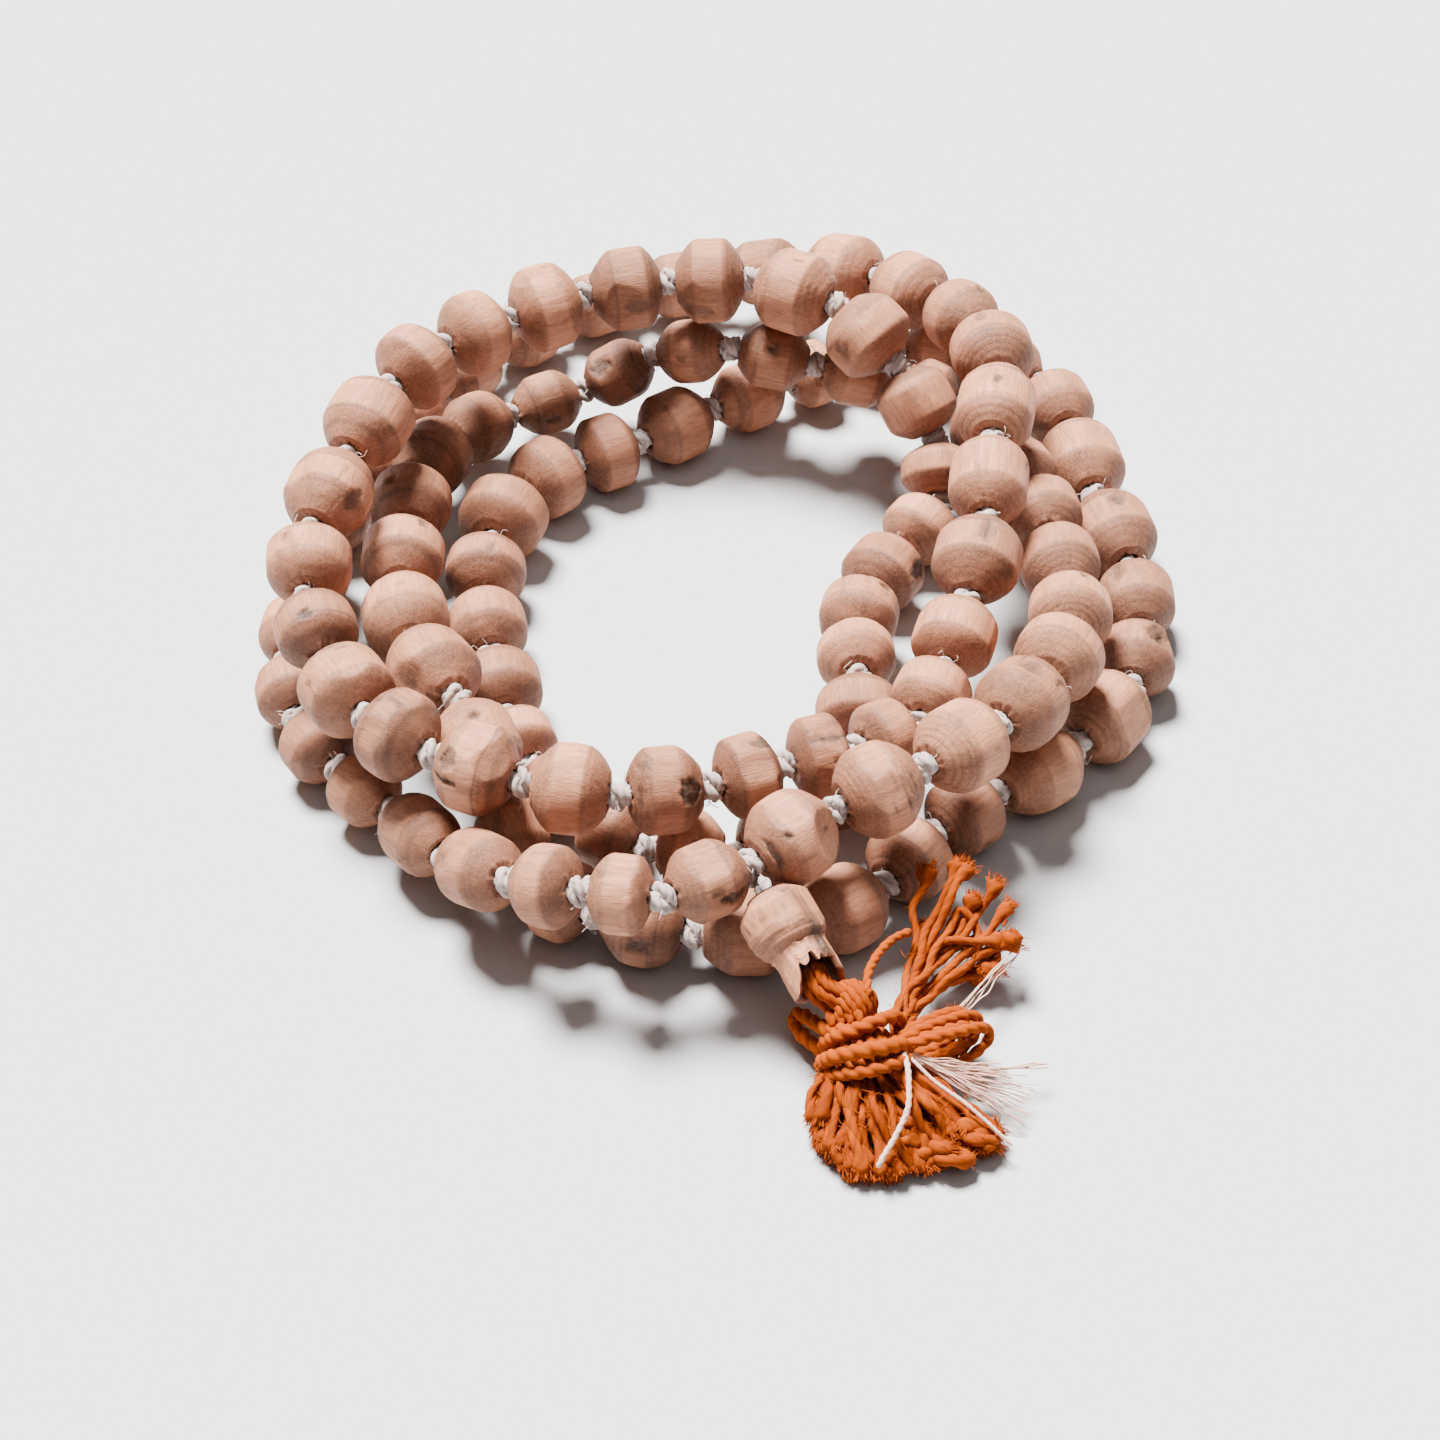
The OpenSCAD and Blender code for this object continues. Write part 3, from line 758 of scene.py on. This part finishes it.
def frames(path, closed=False):
    """Directions along and across a path, carried along it without twisting."""
    if closed:
        along = np.roll(path, -1, axis=0) - np.roll(path, 1, axis=0)
    else:
        along = np.gradient(path, axis=0)
    along /= np.linalg.norm(along, axis=1, keepdims=True)
    u, _ = axes_for(along[0], np.array([0.31, 0.17, 0.93]))
    us = [u]
    for k in range(1, len(path)):
        u = us[-1] - along[k] * float(us[-1] @ along[k])
        us.append(unit(u))
    us = np.array(us)
    return along, us, np.cross(along, us)


def add_strand(build, path, radius, tint, sides=8, closed=False, plies=3, twist=1.6, phase=0.0,
               lump=0.16, taper_ends=True, seed=1):
    """A spun strand: a tube with plies that wind round it. radius may be one value or one per point."""
    _, us, vs = frames(path, closed)
    count = len(path)
    length = np.concatenate([[0], np.cumsum(np.linalg.norm(np.diff(path, axis=0), axis=1))])
    angle = np.linspace(0, 2 * np.pi, sides, endpoint=False)[None, :]
    radii = np.broadcast_to(np.asarray(radius, float), (count,))[:, None]
    spin = twist * length[:, None] / (np.mean(radii) + 1e-6) + phase
    if closed:
        turns = round(float(spin[-1, 0] - phase) / (2 * np.pi))
        spin = phase + 2 * np.pi * turns * np.arange(count)[:, None] / count
    ridge = np.abs(np.cos(plies * (angle - spin) / 2))
    shape = radii * (1 - lump + lump * 2 * (ridge - 0.5)) * (1 + 0.05 * waves(path, 1.5, seed)[:, None])
    if taper_ends and not closed:
        reach = np.minimum(length, length[-1] - length)[:, None]
        shape = shape * (0.35 + 0.65 * ease(reach, 0, radii * 0.9))
    points = (path[:, None, :] + np.cos(angle)[..., None] * shape[..., None] * us[:, None, :]
              + np.sin(angle)[..., None] * shape[..., None] * vs[:, None, :])
    local = np.stack([np.cos(angle - spin) * shape, np.sin(angle - spin) * shape,
                      length[:, None] + 0 * angle], -1) + np.array([seed % 37, seed % 11, seed % 53])
    # painted shade: the grooves between the plies get a high second tint value, which darkens the colour
    # where shade falls between them
    deep = np.clip(1.15 - 1.5 * ridge, 0, 1)
    tints = tinted(points, tint[0], np.maximum(deep, tint[1]), tint[2], 1)
    build.grid(points, local, tints, wrap_rows=closed)
    if not closed:
        build.cap(points[0], local[0], tints[0], flip=True)
        build.cap(points[-1], local[-1], tints[-1])


def overhand(at, axis, size, long, start, steps=96):
    """The path of a tight overhand knot round an axis: three lobes, size across and long along it."""
    u, v = axes_for(axis, TO_VIEW)
    t = np.linspace(0, 2 * np.pi, steps, endpoint=False)
    wide = size / 2 * (0.62 + 0.38 * np.cos(3 * t))
    x = wide * np.cos(2 * t + start)
    y = wide * np.sin(2 * t + start)
    z = long / 2 * np.sin(3 * t)
    return at + x[:, None] * u + y[:, None] * v + z[:, None] * axis


def add_fuzz(build, path, radius, count, long, tint, draw, thick=0.035):
    """Loose fibres that stand off a strand."""
    along, us, vs = frames(path)
    for _ in range(count):
        k = draw.randint(0, len(path))
        a = draw.uniform(0, 2 * np.pi)
        out = spoke(us[k], vs[k], a)
        lean = along[k] * draw.uniform(-1.2, 1.2)
        reach = long * draw.uniform(0.4, 1)
        start = path[k] + out * radius * 0.8
        middle = start + unit(out + lean) * reach * 0.5
        bend = unit(out + lean + draw.normal(size=3) * 0.7)
        fibre = smooth_path([start, middle, middle + bend * reach * 0.5], reach / 5)
        fibre[:, 2] = np.maximum(fibre[:, 2], thick)
        add_strand(build, fibre, thick, tint, sides=4, plies=1, lump=0, seed=k)


STRAND_R = 0.52


def add_cord_knot(build, i, size, seed):
    """One stopper knot of the plied cord, squeezed between the beads beside it."""
    draw = np.random.RandomState(seed)
    axis = unit(way(i - 1) + way(i))
    room = min(gap(i, diameter(i)), gap(i, diameter(i - 1)))
    across = (size - 2 * STRAND_R) * draw.uniform(0.96, 1.08)
    long = max(0.7, 2 * room - 2 * STRAND_R + 0.25)
    path = overhand(knot(i), axis, across, long, draw.uniform(0, 6))
    tone = draw.uniform(0.7, 1)
    add_strand(build, path, STRAND_R, (0.5, 0, tone), sides=18, closed=True, plies=3, twist=1.25,
               lump=0.17, seed=seed)
    core = knot(i) + axis * np.linspace(-0.5, 0.5, 8)[:, None] * (2 * room + 0.3)
    add_strand(build, core, 0.95, (0.3, 0.0, tone), sides=18, plies=4, twist=1.3, lump=0.18,
               taper_ends=False, seed=seed)
    u, v = axes_for(axis, TO_VIEW)
    for _ in range(4):
        a = draw.uniform(0, 2 * np.pi)
        start = knot(i) + spoke(u, v, a) * size * 0.42 + axis * draw.uniform(-0.4, 0.4)
        drift = start + (start - knot(i)) * 0.35 + draw.normal(size=3) * 0.25
        end = drift + draw.normal(size=3) * 0.35
        add_strand(build, smooth_path([start, drift, end], 0.12), 0.035, (1, 0, 1), sides=4, plies=1, lump=0)


def make_cord():
    build = Build()
    for bead in BEADS:
        i = bead.number - 1
        start, end = knot(i), knot(i + 1)
        path = start + (end - start) * np.linspace(0, 1, 40)[:, None]
        add_strand(build, path, 0.74, (0.3, 0, 0.8), sides=12, plies=3, twist=1.2, taper_ends=False, seed=i)
    for i in range(1, COUNT):
        add_cord_knot(build, i, KNOT_D + 0.15, 5000 + i)
    finish_piece(build, "cotton_cord", COTTON, "root", ["knotted_cord"])
    build = Build()
    add_cord_knot(build, 0, KNOT_D + 0.35, 5000)
    finish_piece(build, "cotton_guru_knot", COTTON, "root", ["guru_knot"])
    build = Build()
    w = unit(GURU_WAY)
    u, _ = axes_for(w, np.array([0, 0, 1.0]))
    reach = np.linspace(KNOT_D / 2 + 0.1 - GURU_GAP, GURU_LONG + 0.3, 60)[:, None]
    for side in (-1, 1):
        path = GURU_TOP + reach * w + side * 0.68 * u
        add_strand(build, path, 0.6, (0.4, 0, 0.9), sides=12, plies=3, twist=1.2, seed=side + 5)
    finish_piece(build, "cotton_ends", COTTON, "guru", ["guru_cord_ends"])


make_cord()

# ---------------------------------------------------------------- tassel
YARN_R = 0.56
HEAD_AT = np.array([10.9, -51.7, 6.1])
BUNDLE_AT = np.array([12.1, -55.6, 4.3])
BUNDLE_WAY = unit([0.42, -0.90, 0.08])
TIE_AT = np.array([14.6, -55.7, 5.2])


def laid(points):
    """Points on the pile, in millimetres, moved into the frame of the part."""
    return np.asarray(points, float) - CENTRE


def above_floor(path, radius):
    path = path.copy()
    path[:, 2] = np.maximum(path[:, 2], radius)
    return path


def sway(path, size, draw):
    return np.stack([waves(path, size, draw.randint(1, 9999)) for _ in range(3)], -1)


def add_tip(build, path, radius, tone, draw):
    """The frayed brush of fibres at a cut end."""
    direction = unit(path[-1] - path[-4])
    u, v = axes_for(direction, np.array([0.2, 0.3, 0.9]))
    for _ in range(34):
        a = draw.uniform(0, 2 * np.pi)
        out = spoke(u, v, a)
        start = path[-3] + out * radius * draw.uniform(0.2, 1.0)
        middle = start + direction * draw.uniform(0.25, 0.5) + out * draw.uniform(0, 0.2)
        end = middle + direction * draw.uniform(0.1, 0.5) + out * draw.uniform(0.0, 0.35)
        strand = above_floor(np.array([start, middle, end]), 0.05)
        add_strand(build, strand, draw.uniform(0.035, 0.07), (0.9, 0, tone), sides=4, plies=1, lump=0)


def add_yarn(build, points, draw, radius=YARN_R, tip=True, tone=None, wobble=0.12, fuzz=5, bell=1.0):
    """A soft yarn through the points; its cut end swells into a small bell of loose fibre."""
    path = smooth_path(points, 0.28)
    span = np.linspace(0, 1, len(path))[:, None]
    path = path + wobble * sway(path, 5, draw) * np.minimum(1, span * 4)
    path = above_floor(path, radius * 0.9)
    tone = draw.uniform(0.5, 1) if tone is None else tone
    radii = np.full(len(path), radius) * (1 + 0.14 * waves(path, 2.4, draw.randint(1, 9999)))
    if tip:
        left = np.cumsum(np.linalg.norm(np.diff(path[::-1], axis=0, prepend=path[-1:]), axis=1))[::-1]
        radii = radii * (1 + bell * draw.uniform(0.7, 1.15) * ease(left, 2.3, 0.3))
        path = above_floor(path, 0.75)
    add_strand(build, path, radii, (0.25, 0, tone), sides=12, plies=3, twist=0.75, lump=0.085,
               phase=draw.uniform(0, 6), seed=draw.randint(1, 9999))
    if tip:
        add_tip(build, path, float(radii[-3]), tone, draw)
    add_fuzz(build, path, radius, fuzz, 1.5, (1, 0, 1), draw, thick=0.03)
    return path


def add_rope(build, points, draw, radius=0.7, tone=0.95, closed=False, twist=1.7, fuzz=6):
    """A tightly twisted strand, with clear ridges across it."""
    path = smooth_path(points, 0.12)
    if closed:
        path = path[:-1]
    path = above_floor(path, radius)
    add_strand(build, path, radius, (0.5, 0, tone), sides=16, closed=closed, plies=2, twist=twist, lump=0.17,
               seed=draw.randint(1, 9999))
    add_fuzz(build, path, radius, fuzz, 1.1, (1, 0, 1), draw, thick=0.028)


def add_core(build, at, size, tone, seed):
    """A rough lump of packed yarn inside the strands, painted dark for the shade among them."""
    lat = np.linspace(0.02, np.pi - 0.02, 18)[:, None]
    lon = np.linspace(0, 2 * np.pi, 28, endpoint=False)[None, :]
    ball = np.stack([np.sin(lat) * np.cos(lon), np.sin(lat) * np.sin(lon), -np.cos(lat) + 0 * lon], -1)
    ball = ball * (1 + 0.1 * waves(ball, 0.9, seed))[..., None] * np.asarray(size)
    # painted shade: the whole lump gets a dark tint, standing in for the shade between the strands that
    # cover it
    build.grid(laid(at) + ball, ball * 2, tinted(ball, 0, 0.9, tone))


def add_windings(build, at, axis, size, thick, slots, draw):
    """Rings of strand wound side by side round a ball."""
    u, v = axes_for(axis, np.array([0.3, 0.2, 0.9]))
    t = np.linspace(0, 2 * np.pi, 84, endpoint=False)[:, None]
    for slot in slots:
        share = math.sin(math.radians(slot))
        ring = math.sqrt(max(0.02, 1 - share ** 2)) * size
        circle = (np.cos(t) * u + np.sin(t) * v) * ring
        circle = circle + axis * (share * size + 0.10 * np.sin(2 * t + slot) + 0.06 * draw.normal())
        add_strand(build, laid(at + circle), thick, (0.5, 0, draw.uniform(0.75, 1)), sides=10, closed=True,
                   plies=2, twist=1.1, lump=0.13, seed=int(slot) + 200)


def make_head():
    draw = np.random.RandomState(11)
    build = Build()
    add_core(build, HEAD_AT, (1.75, 1.75, 1.75), 0.6, 3)
    # yarn that comes down out of the stem
    w = unit(GURU_WAY)
    u, v = axes_for(w, TO_VIEW)
    stem = STEM_END + CENTRE
    for k in range(6):
        a = 2 * np.pi * k / 6 + 0.4
        out = spoke(u, v, a) * 0.9
        points = laid([stem - w * 2.4 + out * 0.8, stem + w * 0.1 + out, HEAD_AT + out * 1.4])
        add_strand(build, smooth_path(points, 0.15), 0.5, (0.3, 0, draw.uniform(0.6, 0.9)), sides=10,
                   twist=1.1, lump=0.13, seed=k)
    # the knot: strands wound round it two ways, like a small ball of yarn
    first = unit(TO_VIEW * 0.75 + np.array([-0.5, 0.1, -0.45]))
    add_windings(build, HEAD_AT, first, 1.90, 0.36, (-50, -28, -8, 10, 28, 46, 66), draw)
    second = unit([0.75, 0.55, 0.2])
    add_windings(build, HEAD_AT, second, 2.02, 0.34, (2, 20, 39), draw)
    # strands that run down from the knot into the neck
    for k in range(4):
        start = HEAD_AT + np.array([-1.9 + 0.75 * k, -0.6 - 0.15 * k, 0.2 + 0.3 * k])
        end = start + np.array([0.4, -1.5, -0.7])
        add_strand(build, smooth_path(laid([start, (start + end) / 2 + [-0.1, -0.1, 0.3], end]), 0.15), 0.42,
                   (0.4, 0, draw.uniform(0.7, 1)), sides=10, plies=2, twist=1.1, lump=0.14, seed=k + 60)
    finish_piece(build, "tassel_head_yarn", ORANGE, "tassel_head", ["tassel_head_knot"])


def make_wrap():
    draw = np.random.RandomState(12)
    build = Build()
    add_core(build, BUNDLE_AT, (2.3, 2.4, 2.3), 0.5, 4)
    u, v = axes_for(BUNDLE_WAY, np.array([0, 0, 1.0]))
    # the bundle's own yarns, side by side round the core
    for k in range(15):
        a = 2 * np.pi * k / 15
        out = spoke(u, v, a)
        wide = draw.uniform(2.15, 2.4)
        points = [BUNDLE_AT + BUNDLE_WAY * s + out * wide * r
                  for s, r in ((-2.3, 0.55), (-1.3, 0.9), (0, 1.0), (1.3, 0.98), (2.4, 0.8))]
        path = above_floor(smooth_path(laid(points), 0.25), 0.5)
        add_strand(build, path, 0.52, (0.3, 0, draw.uniform(0.6, 0.95)), sides=10, twist=0.8, lump=0.1,
                   seed=k)
    # three turns of rope tied round it
    for ring, thick in (
            ([[8.6, -53.6, 3.6], [9.6, -55.0, 6.0], [11.2, -55.4, 7.3], [13.2, -54.6, 7.6],
              [14.6, -53.3, 6.4], [14.8, -52.8, 3.6], [12.6, -53.0, 1.4], [9.8, -53.2, 1.4]], 0.66),
            ([[8.3, -55.8, 3.6], [9.3, -57.3, 6.1], [11.2, -58.0, 7.5], [13.4, -57.6, 7.6],
              [14.9, -56.2, 6.2], [14.9, -55.0, 3.6], [12.4, -54.9, 1.5], [9.4, -55.0, 1.5]], 0.70),
            ([[8.6, -56.6, 3.0], [9.9, -58.4, 5.2], [12.0, -59.1, 6.4], [14.2, -58.3, 6.4],
              [15.4, -56.8, 5.2], [15.2, -55.6, 3.0], [12.6, -55.8, 1.4], [9.8, -56.0, 1.4]], 0.60)):
        add_rope(build, laid(ring + [ring[0]]), draw, thick, draw.uniform(0.85, 1), closed=True)
    # the hitch that holds them
    add_windings(build, TIE_AT, unit([0.75, 0.3, 0.5]), 0.95, 0.46, (-30, 8, 46), draw)
    finish_piece(build, "tassel_wrap_yarn", ORANGE, "tassel", ["tassel_wrap"])


def make_bows():
    draw = np.random.RandomState(13)
    build = Build()
    left = [[10.8, -54.8, 6.6], [9.2, -53.6, 5.2], [8.0, -51.8, 4.1], [6.9, -50.2, 3.4], [6.3, -49.8, 2.7],
            [6.6, -50.9, 2.2], [8.0, -53.0, 2.6], [9.8, -54.8, 3.2]]
    add_rope(build, laid(left), draw, 0.68)
    finish_piece(build, "bow_left_yarn", ORANGE, "tassel", ["tassel_bow_left"])
    build = Build()
    aside = unit([0.54, -0.84, 0])
    loop = np.array([[14.4, -55.6, 5.6], [16.4, -54.6, 6.2], [18.6, -53.3, 5.9], [20.4, -52.0, 5.0],
                     [21.2, -51.5, 3.8], [20.8, -51.8, 2.6], [18.8, -53.2, 2.1], [16.6, -54.6, 2.6],
                     [14.8, -55.6, 3.8]])
    out = ease(np.linalg.norm(loop - loop[0], axis=1), 0, 4)[:, None]
    for k in range(4):
        shift = aside * (k - 1.1) * 0.86 * (0.35 + 0.65 * out) + draw.normal(size=3) * 0.1
        longer = (loop - loop[0]) * (1 + 0.03 * draw.normal()) + loop[0]
        add_rope(build, laid(longer + shift), draw, 0.52, draw.uniform(0.7, 1), twist=1.3)
    finish_piece(build, "bow_right_yarn", ORANGE, "tassel", ["tassel_bow_right"])


def make_tuft():
    draw = np.random.RandomState(14)
    build = Build()
    base = np.array([14.9, -54.0, 4.4])
    neck = np.array([15.4, -50.4, 4.1])
    upright = [
        ([15.9, -45.7, 5.2], [16.7, -41.0, 7.0], [17.8, -37.2, 8.4]),
        ([16.9, -46.2, 5.4], [18.4, -41.6, 7.3], [20.6, -36.9, 8.7]),
        ([17.4, -45.4, 5.6], [19.8, -40.6, 7.7], [22.2, -37.8, 8.6]),
        ([18.3, -45.2, 5.0], [21.0, -42.0, 6.2], [22.1, -39.6, 7.4]),
        ([18.6, -45.6, 4.6], [22.1, -41.4, 6.4], [24.0, -38.2, 7.8]),
        ([19.2, -45.8, 4.2], [22.8, -42.6, 5.6], [25.1, -40.4, 6.6]),
        ([19.2, -46.6, 3.7], [22.8, -44.0, 4.6], [25.4, -42.7, 5.6]),
        ([18.8, -47.0, 3.0], [21.8, -45.2, 3.0], [24.0, -44.6, 3.2]),
        ([17.6, -45.6, 4.2], [19.2, -43.0, 4.8], [20.6, -40.9, 4.9]),
        ([16.6, -46.2, 3.8], [17.2, -43.4, 4.2], [17.8, -40.8, 5.0]),
        ([18.2, -46.6, 2.6], [20.6, -44.6, 2.2], [22.8, -43.6, 1.6]),
    ]
    for low, high, tip in upright:
        spread = draw.normal(size=3) * [0.35, 0.2, 0.3]
        towards = (np.array(low) - [17.6, -46, 4.3]) * 0.25
        points = [base + spread * 0.8, neck + spread + towards, low, high, tip]
        add_yarn(build, laid(points), draw, radius=draw.uniform(0.31, 0.40), wobble=0.34, bell=2.3)
    # yarns that turn back on themselves below the tips
    curled = (
        [[17.2, -46.8, 5.0], [19.2, -42.9, 6.2], [20.3, -41.2, 6.7], [21.6, -41.7, 6.2], [22.0, -42.9, 5.2],
         [21.0, -44.2, 4.5]],
        [[18.4, -46.6, 4.0], [21.3, -44.2, 4.9], [23.2, -42.9, 4.6], [23.5, -44.0, 3.6], [21.7, -45.4, 3.2]],
        [[16.4, -47.2, 4.2], [18.2, -44.6, 5.2], [20.0, -43.9, 5.6], [22.3, -43.6, 5.2], [24.2, -42.9, 4.8]],
        [[16.9, -46.6, 3.4], [19.6, -43.0, 3.4], [22.0, -41.6, 3.6], [23.6, -42.2, 3.0], [22.8, -43.6, 2.2]],
    )
    for points in curled:
        add_yarn(build, laid([base, neck] + points), draw, radius=0.38, wobble=0.2, bell=1.6)
    # one strand that arches over from the head knot
    arch = [[12.2, -52.2, 7.9], [12.2, -50.4, 8.2], [12.7, -48.6, 8.0], [13.6, -46.6, 7.6],
            [14.8, -45.0, 7.3], [16.2, -43.8, 6.8]]
    add_rope(build, laid(arch), draw, 0.40, twist=1.3)
    finish_piece(build, "upper_tuft_yarn", ORANGE, "tassel", ["tassel_upper_tuft"])


# The skirt's yarns leave the tie along one line and end along another, from left to right.
SKIRT_TOP = np.array([[8.7, -55.4, 3.2], [9.6, -56.8, 4.6], [11.4, -57.8, 5.4], [13.6, -57.6, 5.2],
                      [15.6, -56.6, 4.0]])
SKIRT_HEM = np.array([[7.5, -60.2, 0.9], [8.1, -62.8, 0.8], [9.6, -64.9, 0.7], [11.8, -65.7, 0.7],
                      [14.8, -65.7, 0.7], [18.2, -65.1, 0.7], [21.0, -63.4, 0.7], [23.8, -61.8, 0.8]])


def between(line, share):
    """The point a share of the way along a line of points."""
    at = share * (len(line) - 1)
    return np.array([np.interp(at, range(len(line)), line[:, k]) for k in range(3)])


def make_skirt():
    draw = np.random.RandomState(15)
    build = Build()
    count = 70
    for k in range(count):
        share = min(1, (k + draw.uniform(0, 1)) / count)
        # the left side hangs in separate locks, with gaps between them
        if share < 0.45:
            share = (round(share * 14) + 0.22 * draw.normal()) / 14
        share = min(1, max(0, share))
        layer = draw.uniform(0, 1)
        top = between(SKIRT_TOP, share) + draw.normal(size=3) * 0.2
        top[2] -= 1.6 * (1 - layer)
        hem = between(SKIRT_HEM, share)
        hem = top + (hem - top) * draw.uniform(0.80, 1.0) + [0, 0, 1.1 * layer * draw.uniform(0, 1)]
        hem[2] = max(hem[2], 0.8)
        side = np.array([1, 0.3, 0]) * draw.normal() * 0.5
        first = top + (hem - top) * 0.33 + [0, 0, 0.4 + 0.6 * layer]
        second = top + (hem - top) * 0.70 + [0, 0, 0.3 + 0.7 * layer] + side
        curly = 0.5 if 0.45 < share < 0.85 else 0.34
        add_yarn(build, laid([top, first, second, hem + side * 0.4]), draw, radius=draw.uniform(0.30, 0.48),
                 tone=draw.uniform(0.1, 1), wobble=curly, bell=0.9)
    # a heap of short curled ends over the right half of the hem
    for k in range(15):
        at = np.array([18.0, -62.2, 1.9]) + draw.uniform(-1, 1, 3) * [3.2, 2.0, 0.7]
        t = np.linspace(0, draw.uniform(2.6, 4.8), 6) + draw.uniform(0, 6)
        curl = np.stack([np.cos(t) * 1.35, np.sin(t) * 1.1, 0.4 * np.sin(t * 1.7)], -1)
        add_yarn(build, laid(at + curl), draw, wobble=0.08, fuzz=3, bell=0.6)
    finish_piece(build, "skirt_yarn", ORANGE, "tassel", ["tassel_skirt"])


def make_pale_threads():
    draw = np.random.RandomState(16)
    build = Build()

    def thread(points, radius, wobble=0.05, twist=1.2):
        path = smooth_path(laid(points), 0.2)
        path = above_floor(path + wobble * sway(path, 3, draw), radius)
        add_strand(build, path, radius, (0.7, 0, 1), sides=8, plies=2, twist=twist, lump=0.2, seed=7)

    thread([[14.9, -56.6, 6.2], [15.2, -58.8, 6.4], [15.3, -61.0, 5.8], [14.9, -62.6, 4.8],
            [13.9, -64.2, 3.9], [12.6, -66.0, 2.6]], 0.27)
    thread([[14.9, -56.4, 6.0], [17.0, -58.6, 5.2], [20.4, -61.0, 3.9], [23.6, -63.2, 2.0]], 0.20)
    # a bundle of loose fibre that fans out to the right
    for k in range(64):
        share = draw.uniform(0, 1)
        end = np.array([26.8 - 1.2 * share, -55.6 - 5.2 * share, 2.4 - 1.8 * share])
        end = end + draw.normal(size=3) * 0.3
        start = TIE_AT + [0.5, -0.4, 0] + draw.normal(size=3) * 0.15
        middle = np.array([20.4, -56.9 - 1.5 * share, 4.0 - 0.8 * share]) + draw.normal(size=3) * 0.2
        stop = start + (end - start) * draw.uniform(0.55, 1)
        thread([start, start + (middle - start) * 0.6, stop], draw.uniform(0.035, 0.085), 0.1)
    for k in range(3):
        shift = draw.normal(size=3) * 0.15
        thread([TIE_AT, [20.4, -56.4, 3.6], np.array([27.2, -55.2 + 0.25 * k, 2.4]) + shift], 0.08, 0.12)
    for k in range(5):
        shift = draw.normal(size=3) * 0.25
        thread([[17.6, -52.8, 4.0], np.array([20.2 + k * 0.2, -50.0, 4.0]) + shift,
                np.array([22.8 + k * 0.2, -46.4, 4.1]) + shift,
                np.array([25.2 + k * 0.2, -44.2 + k * 0.4, 4.2]) + shift * 2], 0.07, 0.1)
    finish_piece(build, "pale_threads", PALE, "tassel", ["tassel_pale_threads"])


make_head()
make_wrap()
make_bows()
make_tuft()
make_skirt()
make_pale_threads()

# ---------------------------------------------------------------- floor and light
FLOOR_SIDE = 3.0


def make_floor():
    look = Shading("studio_floor")
    look.surface(Base_Color=(0.46, 0.46, 0.465), Roughness=0.9, Specular_IOR_Level=0.1)
    mesh = bpy.data.meshes.new("studio_floor")
    corners = [(x * FLOOR_SIDE, y * FLOOR_SIDE, 0) for x, y in ((-1, -1), (1, -1), (1, 1), (-1, 1))]
    mesh.from_pydata(corners, [], [(0, 1, 2, 3)])
    mesh.materials.append(look.material)
    floor = add_object("studio_floor", mesh)


def make_light(name, kind, at, power, colour=(1, 1, 1)):
    """A light that points from its place to the origin."""
    data = bpy.data.lights.new(name, kind)
    data.energy = power
    data.color = colour
    light = add_object(name, data)
    light.location = at
    light.rotation_euler = Vector(at).to_track_quat("Z", "Y").to_euler()
    return data


def make_lights():
    """A broad sun from above and behind, a weak soft panel in front, and a faint even sky."""
    sun = make_light("key", "SUN", (-0.13, 0.22, 0.52), 27, (1, 0.975, 0.95))
    sun.angle = 0.37
    panel = make_light("fill", "AREA", (0.10, -0.20, 0.55), 0.8)
    panel.shape = "SQUARE"
    panel.size = 0.5
    world = bpy.data.worlds.new("studio")
    world.use_nodes = True
    background = world.node_tree.nodes["Background"]
    background.inputs["Color"].default_value = (1.0, 0.985, 0.98, 1)
    background.inputs["Strength"].default_value = 0.13
    bpy.context.scene.world = world


make_floor()
make_lights()
